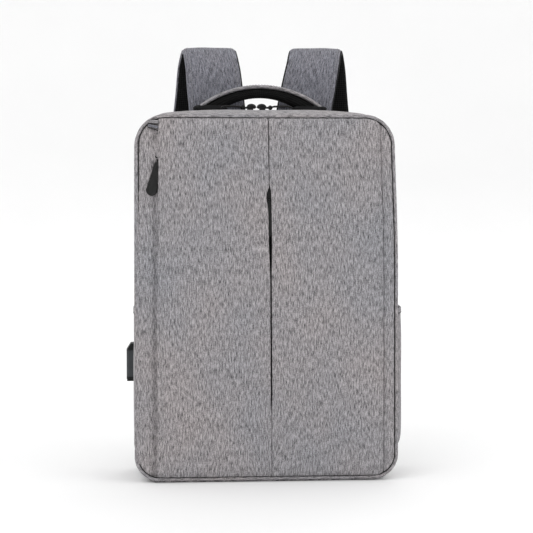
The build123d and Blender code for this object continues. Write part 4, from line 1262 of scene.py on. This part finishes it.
def inflate(piece, held_behind, limit, frames):
    """Blows a pad up as cloth. The mesh is remeshed evenly, in cells of under a third of the thickness,
    as coarser ones lose the pad. The points in front of held_behind are pinned, and pressure swells the
    rest, each by at most limit. One subdivision smooths the result."""
    scene = bpy.context.scene
    remesh = piece.modifiers.new("remesh", "REMESH")
    remesh.mode, remesh.voxel_size = "VOXEL", CUSHION_CELL
    apply_modifiers(piece)
    mesh = piece.data
    start = np.empty(len(mesh.vertices) * 3)
    mesh.vertices.foreach_get("co", start)
    start = start.reshape(-1, 3)
    held = piece.vertex_groups.new(name="held")
    held.add(np.nonzero(start[:, 1] < held_behind * MM)[0].tolist(), 1.0, "REPLACE")
    cloth = piece.modifiers.new("cloth", "CLOTH")
    cloth.settings.quality = 4
    cloth.settings.use_pressure = True
    cloth.settings.uniform_pressure_force = 4.0
    cloth.settings.vertex_group_mass = held.name
    cloth.settings.effector_weights.gravity = 0.0
    cloth.point_cache.frame_start, cloth.point_cache.frame_end = 1, frames
    for step in range(1, frames + 1):
        scene.frame_set(step)
    apply_modifiers(piece)
    scene.frame_set(1)
    mesh = piece.data
    after = np.empty(len(mesh.vertices) * 3)
    mesh.vertices.foreach_get("co", after)
    move = after.reshape(-1, 3) - start
    size = np.linalg.norm(move, axis=1, keepdims=True)
    capped = start + move * np.minimum(1, limit * MM / np.maximum(size, 1e-9))
    mesh.vertices.foreach_set("co", capped.ravel())
    piece.vertex_groups.clear()
    mesh.update()
    smooth = piece.modifiers.new("smooth", "SUBSURF")
    smooth.levels = smooth.render_levels = 1
    apply_modifiers(piece)
    piece.data.polygons.foreach_set("use_smooth", np.ones(len(piece.data.polygons), dtype=bool))


def apply_modifiers(piece):
    """Turns what the modifiers show into the piece's own mesh."""
    graph = bpy.context.evaluated_depsgraph_get()
    shown = bpy.data.meshes.new_from_object(piece.evaluated_get(graph), depsgraph=graph)
    old = piece.data
    piece.modifiers.clear()
    piece.data = shown
    shown.name = piece.name
    bpy.data.meshes.remove(old)


# ------------------------------------------------------------------------------------------- back
class BACKPACK_OT_back(Operator):
    """Makes the mesh back, its cushions, the strap yoke and the luggage band."""

    bl_idname = "backpack.back"
    bl_label = "Back"

    def execute(self, context):
        shape = context.scene.backpack_shape
        frames = shape.pressure_frames
        self.panel()
        for node, centre_x in (("back_pad_left", -60), ("back_pad_right", 60), ("lumbar_pad", 0)):
            self.pad(node, centre_x, frames)
        self.yoke()
        self.luggage_band()
        self.anchors()
        return {"FINISHED"}

    def panel(self):
        """The back panel: mesh cloth over foam, which rolls down to the rear welt exponentially with the
        distance from it and sinks round the cushions."""
        half = WELT_HALF - WELT_R
        X, Z = front_grid(-half, half, 110, 130, 1.6)
        room = np.maximum(room_inside(X, Z), 0)
        y = BACK_Y - 0.4 - 3.4 * np.exp(-room / 5) + 0.3 * waves(X, Z, 70, 91)
        back = np.full(X.shape, BACK_Y - 4.6)
        uv = np.stack([X, Z], -1)
        piece = two_sided("back_mesh", lean(np.stack([X, y, Z], -1)), lean(np.stack([X, back, Z], -1)), uv,
                          [MATERIALS["mesh"]])
        ready(piece, "root", "mesh_black", "back_panel")

    def pad(self, node, centre_x, frames):
        """A cushion on the back: a lozenge with a rounded outline, blown up as cloth, then sewn with
        level channels. Each channel is a narrow bell-shaped groove."""
        low, high = cad(node)
        centre_z = (low[2] + high[2]) / 2
        half_width, half_height = (high[0] - low[0]) / 2 - 2.5, (high[2] - low[2]) / 2 - 2.5
        height = high[1] - low[1]
        outline = rounded_outline(half_width, half_height, 4.6)
        levels = dome_levels(height * 0.8, -1.2, 0.6)

        def place(local):
            x, y, z = local[..., 0] + centre_x, BACK_Y - 0.2 + local[..., 2], local[..., 1] + centre_z
            return np.stack([x, y, z], -1)

        pad = lozenge(f"{node}_mesh", outline, np.zeros(2), levels, place, [MATERIALS["mesh"]])
        inflate(pad, BACK_Y + 0.2, 5.0, frames)
        spacing = 36.0 if half_height > 50 else 26.0

        def sew(points):
            level = np.abs((points[:, 2] - centre_z + spacing / 2) % spacing - spacing / 2)
            inside = 1 - smoothed(np.abs(points[:, 0] - centre_x), half_width - 16, half_width - 6)
            outer = smoothed(points[:, 1], BACK_Y + 0.3, BACK_Y + 2)
            points = points.copy()
            points[:, 1] -= 2.2 * np.exp(-((level / 2.6) ** 2)) * inside * outer
            return points

        reshape(pad, sew)
        project_uv(pad)
        ready(pad, "root", "mesh_black", node)
        ring_line = rounded_outline(half_width + 2.2, half_height + 2.2, 4.6, 150)
        centres = np.column_stack([
            ring_line[:, 0] + centre_x,
            np.full(150, BACK_Y + 0.4),
            ring_line[:, 1] + centre_z,
        ])
        out = ring_line / np.linalg.norm(ring_line, axis=1, keepdims=True)
        piping = swept(f"{node}_piping", centres, np.tile([0.0, 1.0, 0.0], (150, 1)),
                       np.column_stack([out[:, 0], np.zeros(150), out[:, 1]]), round_section(1.1, 8),
                       [MATERIALS["webbing"]], closed_path=True)
        ready(piping, "root", "webbing_black")

    def yoke(self):
        """The padded band that holds both strap tops: a lozenge with two rows of stitching across it."""
        low, high = cad("strap_yoke")
        middle = (low + high) / 2
        outline = rounded_outline((high[0] - low[0]) / 2, (high[2] - low[2]) / 2, 9, 120)

        def place(local):
            x, y, z = local[..., 0] + middle[0], BACK_Y - 0.3 + local[..., 2], local[..., 1] + middle[2]
            return np.stack([x, y, z], -1)

        piece = lozenge("strap_yoke_cloth", outline, np.zeros(2), dome_levels(2.6, -0.4, 0.8, 9, 6),
                        place, [MATERIALS["strap_cloth"]])
        ready(piece, "root", "fabric_dark", "strap_yoke")
        for row in (-1, 1):
            x = np.linspace(low[0] + 4, high[0] - 4, 60)
            line = np.column_stack([x, np.full(60, BACK_Y + 2.0), np.full(60, middle[2] + row * 7.0)])
            backward = np.array([0.0, 1.0, 0.0])
            stitch_row(f"strap_yoke_stitches_{'high' if row > 0 else 'low'}", line, backward,
                       MATERIALS["thread"], "root")

    def luggage_band(self):
        """The band that slips over a suitcase handle: a flat band carried across the back in a low arch."""
        low, high = cad("luggage_strap")
        height, rise = high[2] - low[2], high[1] - BACK_Y - 1.6
        x = np.linspace(low[0], high[0], 80)
        share = smoothed(np.abs(x), 96, 128)
        y = BACK_Y + 0.5 + (rise - 0.2) * (1 - share) + 0.25 * np.sin(x / 13)
        centres = np.column_stack([x, y, np.full(80, (low[2] + high[2]) / 2)])
        direction = np.gradient(centres, axis=0)
        direction /= np.linalg.norm(direction, axis=1, keepdims=True)
        out = np.column_stack([-direction[:, 1], direction[:, 0], np.zeros(80)])
        band = swept("luggage_band", centres, np.tile([0.0, 0.0, 1.0], (80, 1)), out,
                     band_section(height - 0.5, 1.8, 0.0, 30, 3), [MATERIALS["cloth"]])
        ready(band, "root", "fabric_dark", "luggage_strap")
        for edge in (-1, 1):
            line = centres + np.array([0, 0, edge * (height / 2 - 1.2)])
            hem = swept(f"luggage_band_hem_{'high' if edge > 0 else 'low'}", line,
                        np.tile([0.0, 0.0, 1.0], (80, 1)), out, band_section(5.5, 2.8, 0.1, 5, 3),
                        [MATERIALS["webbing"]])
            ready(hem, "root", "webbing_black")

    def anchors(self):
        """The cloth tabs that hold the lower webbing: four-cornered patches with a raised middle."""
        low, high = cad("strap_anchors")
        u, v = np.meshgrid(towards_edges(16), towards_edges(16), indexing="ij")
        for side, hand in ((-1, "left"), (1, "right")):
            foot = 110 + 21 * u
            head = 112 + 28 * u
            x = side * (foot + (head - foot) * v)
            z = low[2] + (high[2] - low[2]) * v
            swell = 4 * u * (1 - u) * 4 * v * (1 - v)
            y = BACK_Y + 1.5 + 0.8 * swell**0.4
            tab = two_sided(f"strap_anchor_{hand}", np.stack([x, y, z], -1),
                            np.stack([x, np.full(x.shape, BACK_Y - 0.6), z], -1), np.stack([x, z], -1),
                            [MATERIALS["strap_cloth"]])
            ready(tab, "root", "webbing_black", *(["strap_anchors"] if side < 0 else []))


# ----------------------------------------------------------------------------------------- inside
class BACKPACK_OT_inside(Operator):
    """Makes the linings, the laptop divider, the power bank pocket and the organiser."""

    bl_idname = "backpack.inside"
    bl_label = "Inside"

    def execute(self, context):
        self.lining("cover_lining", BACKING_Y + 1.0, BACKING_Y, "front_cover", ("front_lining",), 95)
        self.lining("rear_lining", 49.3, 48.5, "root", (), 97)
        self.divider()
        self.pocket("power_bank_pouch", cad("power_bank_pocket"), -1, "root", ("power_bank_pocket",), 6)
        self.organiser()
        return {"FINISHED"}

    def lining(self, name, y_high, y_low, body, nodes, seed):
        """A lining sheet inside the bag, with soft waves, that fills the outline inside the welt."""
        half = WELT_HALF - WELT_R - 3.5
        X, Z = front_grid(-half, half, 60, 70, 1.3)
        Z = PAN_TOP / 4 + Z * 0.972
        wave = 0.35 * waves(X, Z, 80, seed)
        front = lean(np.stack([X, y_low + wave, Z], -1))
        rear = lean(np.stack([X, y_high + wave, Z], -1))
        piece = two_sided(name, front, rear,
                          np.stack([X, Z], -1), [MATERIALS["lining"]])
        ready(piece, body, "lining_grey", *nodes)

    def divider(self):
        """The padded laptop divider: a lozenge with a bound top edge and slanting quilting. The quilting is
        a diamond lattice of bell-shaped grooves."""
        low, high = cad("laptop_divider")
        middle, half = (low + high) / 2, (high - low) / 2
        outline = rounded_outline(half[0], half[2], 16, 200)
        rings = 46
        share = np.linspace(0.02, 1, rings)
        face = 0.8 + (half[1] - 0.9) * (1 - share**10) ** 0.5
        levels = list(zip(share, face)) + list(zip(share[::-1], -face[::-1]))

        def place(local):
            x, z = local[..., 0], local[..., 1]
            grooves = [np.exp(-(((x + k * z) % 44 - 22) / 3.2) ** 2) for k in (-1, 1)]
            inner = smoothed(half[0] - np.abs(x), 8, 14) * smoothed(half[2] - np.abs(z), 8, 14)
            height = local[..., 2] * (1 - 0.34 * np.maximum(*grooves) * inner)
            return np.stack([x + middle[0], height + middle[1], z + middle[2]], -1)

        pad = lozenge("laptop_divider_pad", outline, np.zeros(2), levels, place, [MATERIALS["lining"]])
        ready(pad, "root", "lining_grey", "laptop_divider")
        x = np.linspace(-half[0], half[0], 60)
        line = np.column_stack([x, np.full(60, middle[1]), np.full(60, high[2] - 1.2)])
        across, up = np.tile([0.0, 1.0, 0.0], (60, 1)), np.tile([0.0, 0.0, 1.0], (60, 1))
        rim = swept("laptop_divider_binding", line, across, up, band_section(6.6, 3.0, 0.8, 6, 3),
                    [MATERIALS["webbing"]])
        ready(rim, "root", "webbing_black")

    def pocket(self, name, box, side, body, nodes, depth):
        """A flat pocket with a gathered, bound top: its face bulges by the product of two sine arches."""
        low, high = box
        u, v = np.meshgrid(towards_edges(34), towards_edges(34), indexing="ij")
        x = low[0] + 1 + (high[0] - low[0] - 2) * u
        z = low[2] + 1 + (high[2] - low[2] - 3) * v
        bulge = np.sin(math.pi * u) ** 0.6 * np.sin(math.pi * (0.08 + 0.62 * v)) ** 0.8
        gather = 0.4 * np.sin(u * TAU * 9) * smoothed(v, 0.75, 1.0)
        root_y = high[1] if side < 0 else low[1]
        y = root_y + side * (1.2 + depth * bulge + gather)
        back = np.full(x.shape, root_y)
        first, second = (y, back) if side < 0 else (back, y)
        pouch = two_sided(name, np.stack([x, first, z], -1), np.stack([x, second, z], -1),
                          np.stack([x, z], -1), [MATERIALS["lining"]])
        ready(pouch, body, "lining_grey", *nodes)
        edge = np.column_stack([x[:, -1], (y[:, -1] + root_y) / 2 + side * 0.4, z[:, -1]])
        thick = np.abs(y[:, -1] - root_y)
        scale = np.stack([thick + 1.6, np.full(len(x), 6.0)], -1)
        section = band_section(1.0, 0.5, 0, 5, 3)[None] * scale[:, None]
        rim = swept(f"{name}_binding", edge, np.tile([0.0, 1.0, 0.0], (len(x), 1)),
                    np.tile([0.0, 0.0, 1.0], (len(x), 1)), section, [MATERIALS["webbing"]])
        ready(rim, body, "webbing_black")

    def organiser(self):
        """The organiser inside the cover: a backing sheet with one wide pocket and two small ones."""
        low, high = cad("organiser_panel")
        u, v = np.meshgrid(towards_edges(30), towards_edges(30), indexing="ij")
        x, z = low[0] + (high[0] - low[0]) * u, low[2] + (high[2] - low[2]) * v
        sheet = two_sided("organiser_backing", np.stack([x, np.full(x.shape, low[1] + 0.1), z], -1),
                          np.stack([x, np.full(x.shape, low[1] + 1.2), z], -1), np.stack([x, z], -1),
                          [MATERIALS["lining"]])
        ready(sheet, "front_cover", "lining_grey", "organiser_panel")
        inner = low[1] + 1.2
        for name, x_low, x_high, top in (("organiser_wide_pocket", -106, 106, 165),
                                         ("organiser_left_pocket", -104, -4, 250),
                                         ("organiser_right_pocket", 4, 104, 250)):
            foot = low[2] + 4 if top < 200 else 176
            box = (np.array([x_low, inner, foot]), np.array([x_high, inner, top]))
            self.pocket(name, box, 1, "front_cover", (), 4)


# ----------------------------------------------------------------------------------------- trim
class BACKPACK_OT_trim(Operator):
    """Makes the handle and the zip pulls, and finishes the hard parts."""

    bl_idname = "backpack.trim"
    bl_label = "Handle, pulls and hard parts"

    def execute(self, context):
        self.handle()
        for name, lean_angle in (("front", 14.0), ("centre", 0.0)):
            low, high = cad(f"{name}_pull")
            slider = cad(f"{name}_slider")
            pin = np.array([(slider[0][0] + slider[1][0]) / 2, (low[1] + high[1]) / 2, high[2] - 3.0])
            turn = math.radians(lean_angle)
            along = np.array([-math.sin(turn), 0, -math.cos(turn)])
            across = np.array([math.cos(turn), 0, -math.sin(turn)])
            forward = np.array([0.0, -1.0, 0.0])
            self.pull(f"{name}_pull", pin, along, across, forward, 33.0, 6.3, (high - low)[1])
        for side, hand in ((-1, "left"), (1, "right")):
            low, high = cad(f"main_pull_{hand}")
            start = high[0] - 2.6 if side < 0 else low[0] + 2.6
            pin = np.array([start, (low[1] + high[1]) / 2, (low[2] + high[2]) / 2])
            along, across = np.array([float(side), 0, 0]), np.array([0, float(side), 0])
            up = np.array([0.0, 0.0, 1.0])
            self.pull(f"main_pull_{hand}", pin, along, across, up, 20.0, 5.3, 2.2, arch=2.4)
            low, high = cad(f"main_slider_{hand}")
            span = np.linspace(0, math.pi, 16)
            middle = pin[0] - side * 10.0
            line = np.column_stack([
                middle - 3.4 * np.cos(span),
                np.full(16, pin[1]),
                high[2] - 1.4 + 2.6 * np.sin(span) ** 0.7,
            ])
            normal = np.column_stack([-np.cos(span), np.zeros(16), np.sin(span)])
            bridge = swept(f"main_slider_{hand}_bridge", line, np.tile([0.0, 1.0, 0.0], (16, 1)), normal,
                           band_section(5.0, 3.4, 0.6, 5, 3), [MATERIALS["slider"]])
            ready(bridge, f"main_slider_{hand}", "slider_metal")
        self.hard_parts()
        return {"FINISHED"}

    def pull(self, node, pin, along, across, up, length, end_radius, thickness, arch=0.0):
        """A rubber zip pull: the outline is a tapering capsule, the rings sink inside a raised rim, and a
        neck and an eye join it to the pin. A pull that lies on the bag arches over it as half a sine."""
        turn = np.linspace(0, math.pi, 20)
        top_radius, start = 4.2, 4.6
        tilt = math.asin((end_radius - top_radius) / (length - start))
        low_turn = np.linspace(-tilt, math.pi + tilt, 26)
        high_turn = np.linspace(math.pi + tilt, TAU - tilt, len(turn) - 4)
        outline = np.vstack([
            np.column_stack([end_radius * np.cos(low_turn), length + end_radius * np.sin(low_turn)]),
            np.column_stack([top_radius * np.cos(high_turn), start + top_radius * np.sin(high_turn)]),
        ])
        t = np.clip((outline[:, 1] - start) / (length - start), 0, 1)
        centre = np.column_stack([0 * t, start + t * (length - start)])
        half = thickness / 2
        levels = [(0.05, half * 0.62), (0.45, half * 0.62), (0.66, half * 0.66), (0.74, half * 0.9),
                  (0.84, half * 0.98), (0.93, half * 0.86), (0.985, half * 0.5), (1.0, 0.0),
                  (0.985, -half * 0.55), (0.93, -half * 0.9), (0.5, -half), (0.05, -half)]

        def place(local):
            rise = arch * np.sin(math.pi * np.clip(local[..., 1:2] / (length + end_radius), 0, 1))
            return pin + local[..., :1] * across + local[..., 1:2] * along + (local[..., 2:] + rise) * up

        body = lozenge(f"{node}_rubber", outline, centre, levels, place, [MATERIALS["rubber"]])
        ready(body, node, "rubber_black", node)
        s = np.linspace(0.5, start, 10)
        lifted = arch * np.sin(math.pi * s / (length + end_radius))
        line = pin + s[:, None] * along + lifted[:, None] * up
        neck = swept(f"{node}_neck", line, np.tile(across, (10, 1)), np.tile(up, (10, 1)),
                     round_section(1.0, 10) * np.array([1.7, half * 0.85]), [MATERIALS["rubber"]])
        ready(neck, node, "rubber_black")
        around = np.linspace(0, TAU, 20, endpoint=False)
        radial = np.cos(around)[:, None] * along + np.sin(around)[:, None] * across
        if abs(up[2]) > 0.5:
            radial = np.cos(around)[:, None] * along + np.sin(around)[:, None] * up
        axis = across if abs(up[2]) > 0.5 else up
        eye = swept(f"{node}_eye", pin + radial * 1.9, np.tile(axis, (20, 1)), radial,
                    round_section(0.8, 8) * np.array([1.25, 1.0]), [MATERIALS["rubber"]], closed_path=True)
        ready(eye, node, "rubber_black")

    def handle(self):
        """The carrying handle. Both its faces are circular arcs: the cover is a band on the outer one, and
        the grip fills the crescent between the two with a rounded section."""
        low, high = cad("handle_cover")
        middle_y, half_width = (low[1] + high[1]) / 2, (high[1] - low[1]) / 2
        base = low[2]

        def arc(half, top, count):
            rise = top - base
            radius = (half * half + rise * rise) / (2 * rise)
            turn = np.linspace(-1, 1, count) * math.asin(half / radius)
            x, z = radius * np.sin(turn), top - radius + radius * np.cos(turn)
            line = np.column_stack([x, np.full(count, middle_y), z])
            return line, np.column_stack([np.sin(turn), 0 * x, np.cos(turn)])

        outer, outer_up = arc(high[0] - 6.0, high[2] - 4.0, 70)
        across = np.tile([0.0, 1.0, 0.0], (70, 1))
        cover = swept("handle_band", outer - outer_up * 0.4, across, outer_up,
                      band_section(2 * half_width + 0.6, 3.4, 0.5, 11, 4), [MATERIALS["cloth"]])
        ready(cover, "handle", "fabric_grey", "handle_cover")
        for edge in (-1, 1):
            line = outer + outer_up * 1.75 + across * edge * (half_width - 2.6)
            stitch_row(f"handle_stitches_{'front' if edge < 0 else 'rear'}", line[5:-5], outer_up[5:-5],
                       MATERIALS["thread"], "handle", radius=0.2)
        upper, _ = arc(high[0] - 9.5, high[2] - 6.6, 70)
        lower, _ = arc(39.0, 434.6, 70)
        centre, reach = (upper + lower) / 2, (upper - lower) / 2
        turn = np.arange(22) * TAU / 22
        wide = np.sign(np.cos(turn)) * np.abs(np.cos(turn)) ** 0.6 * (half_width - 0.5)
        tall = np.sign(np.sin(turn)) * np.abs(np.sin(turn)) ** 0.75
        points = centre[:, None] + across[:, None] * wide[:, None] + reach[:, None] * tall[:, None]
        points[..., 1] += 0.25 * np.sin(points[..., 0] / 4.2) * np.abs(np.cos(turn))
        uv_u = np.append(running_length(np.column_stack([wide, tall * 6])), 60.0)
        uv = np.stack(np.meshgrid(running_length(centre), uv_u, indexing="ij")[::-1], -1)
        grip = surface("handle_grip", points, uv, [MATERIALS["strap_mesh"]], close_columns=True, caps=True)
        ready(grip, "handle", "mesh_black", "handle_pad")
        for side, hand in ((-1, "left"), (1, "right")):
            outline = rounded_outline(20.0, half_width + 1.2, 7, 60)
            centre_x = side * 58.0

            def place(local):
                x, y = local[..., 0] + centre_x, local[..., 1] + middle_y - 1.0
                z = BODY_TOP + 1.2 + local[..., 2] - 0.012 * np.maximum(28 - y, 0) ** 2
                return np.stack([x, y, z], -1)

            levels = dome_levels(5.4 if side < 0 else 4.2, -1.6, 1.0, 8, 8)
            foot = lozenge(f"handle_foot_{hand}", outline, np.zeros(2), levels, place,
                           [MATERIALS["webbing"]])
            ready(foot, "root", "webbing_black", *(["handle_anchors"] if side < 0 else []))

    def hard_parts(self):
        """Gives each CAD node that still shows its material."""
        finishes = {
            "front_slider": "slider", "centre_slider": "slider", "main_slider_left": "slider",
            "main_slider_right": "slider", "usb_housing": "plastic", "usb_cover": "rubber",
            "usb_socket": "steel", "base_board": "board", "back_stiffener": "board",
            "ladder_lock_left": "black_plastic", "ladder_lock_right": "black_plastic",
        }
        for node, finish in finishes.items():
            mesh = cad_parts[node].data
            mesh.materials.clear()
            mesh.materials.append(MATERIALS[finish])


# ----------------------------------------------------------------------------------------- stage
class BACKPACK_OT_stage(Operator):
    """Makes the floor, the light and the camera."""

    bl_idname = "backpack.stage"
    bl_label = "Stage"

    def execute(self, context):
        stage = context.scene.backpack_stage
        self.floor()
        self.light("key light", (-1.6, -2.6, 2.6), 2.4, stage.light_power)
        self.light("fill light", (2.4, -1.8, 1.8), 2.4, stage.light_power * 0.45)
        self.light("back light", (0.6, 2.6, 2.2), 2.0, stage.light_power * 0.6)
        world = bpy.data.worlds.new("studio")
        world.use_nodes = True
        world.node_tree.nodes["Background"].inputs["Color"].default_value = (1, 1, 1, 1)
        world.node_tree.nodes["Background"].inputs["Strength"].default_value = stage.sky_strength
        context.scene.world = world
        context.scene.view_settings.view_transform = "Standard"
        camera = bpy.data.cameras.new("camera")
        camera.lens, camera.shift_y = stage.lens, stage.camera_shift
        holder = bpy.data.objects.new("camera", camera)
        place, aim = Vector(stage.camera_place), Vector(stage.camera_aim)
        holder.location = place
        holder.rotation_euler = (aim - place).to_track_quat("-Z", "Y").to_euler()
        context.scene.collection.objects.link(holder)
        context.scene.camera = holder
        return {"FINISHED"}

    def floor(self):
        """The floor: flat out to three metres, then rising as a quarter circle all round."""
        rim = 3000 + 1800 * np.sin(np.linspace(0.08, 1, 20) * math.pi / 2)
        radius = np.concatenate([np.linspace(5, 3000, 12), rim])
        height = np.concatenate([np.zeros(12), 1800 * (1 - np.cos(np.linspace(0.08, 1, 20) * math.pi / 2))])
        turn = np.arange(64) * TAU / 64
        points = np.stack([radius[:, None] * np.cos(turn), radius[:, None] * np.sin(turn),
                           np.broadcast_to(height[:, None], (32, 64))], -1)
        uv = np.zeros((32, 65, 2))
        nodes = Nodes("pale floor", roughness=0.9, specular=0.1)
        cloud = nodes.noise(nodes.stretched((2, 2, 2), "Object"), detail=2.0)
        material = nodes.finish(nodes.ramp(cloud, [(0.2, grey(0.90)), (0.8, grey(0.93))]))
        floor = surface("floor", points, uv, [material], close_columns=True, closed=False)
        mesh = floor.data
        if mesh.polygons[0].normal.z < 0:
            mesh.flip_normals()

    def light(self, name, place, size, power):
        """A square soft light that faces the middle of the bag."""
        lamp = bpy.data.lights.new(name, "AREA")
        lamp.size, lamp.energy = size, power
        holder = bpy.data.objects.new(name, lamp)
        holder.location = place
        holder.rotation_euler = (Vector((0, 0, 0.25)) - Vector(place)).to_track_quat("-Z", "Y").to_euler()
        bpy.context.scene.collection.objects.link(holder)


# ----------------------------------------------------------------------------------------- add-on
class BACKPACK_PT_panel(Panel):
    """Lists the parts of the bag in the sidebar."""

    bl_idname = "BACKPACK_PT_panel"
    bl_label = "Laptop backpack"
    bl_space_type = "VIEW_3D"
    bl_region_type = "UI"
    bl_category = "Backpack"

    def draw(self, context):
        scene = context.scene
        for settings in (scene.backpack_cloth, scene.backpack_shape, scene.backpack_stage):
            box = self.layout.box()
            for name in settings.__annotations__:
                box.prop(settings, name)
        for operator in OPERATORS:
            self.layout.operator(operator.bl_idname)


OPERATORS = (
    BACKPACK_OT_walls,
    BACKPACK_OT_welts,
    BACKPACK_OT_front,
    BACKPACK_OT_pockets,
    BACKPACK_OT_back,
    BACKPACK_OT_straps,
    BACKPACK_OT_inside,
    BACKPACK_OT_trim,
    BACKPACK_OT_stage,
)
SETTINGS = (BackpackCloth, BackpackShape, BackpackStage)


def register():
    for item in (*SETTINGS, *OPERATORS, BACKPACK_PT_panel):
        bpy.utils.register_class(item)
    bpy.types.Scene.backpack_cloth = PointerProperty(type=BackpackCloth)
    bpy.types.Scene.backpack_shape = PointerProperty(type=BackpackShape)
    bpy.types.Scene.backpack_stage = PointerProperty(type=BackpackStage)


def unregister():
    del bpy.types.Scene.backpack_cloth
    del bpy.types.Scene.backpack_shape
    del bpy.types.Scene.backpack_stage
    for item in reversed((*SETTINGS, *OPERATORS, BACKPACK_PT_panel)):
        bpy.utils.unregister_class(item)


def main():
    """Builds the whole bag."""
    register()
    make_materials(bpy.context.scene.backpack_cloth)
    bpy.ops.backpack.walls()
    bpy.ops.backpack.welts()
    bpy.ops.backpack.front()
    bpy.ops.backpack.pockets()
    bpy.ops.backpack.back()
    bpy.ops.backpack.straps()
    bpy.ops.backpack.inside()
    bpy.ops.backpack.trim()
    bpy.ops.backpack.stage()


if __name__ == "__main__":
    main()
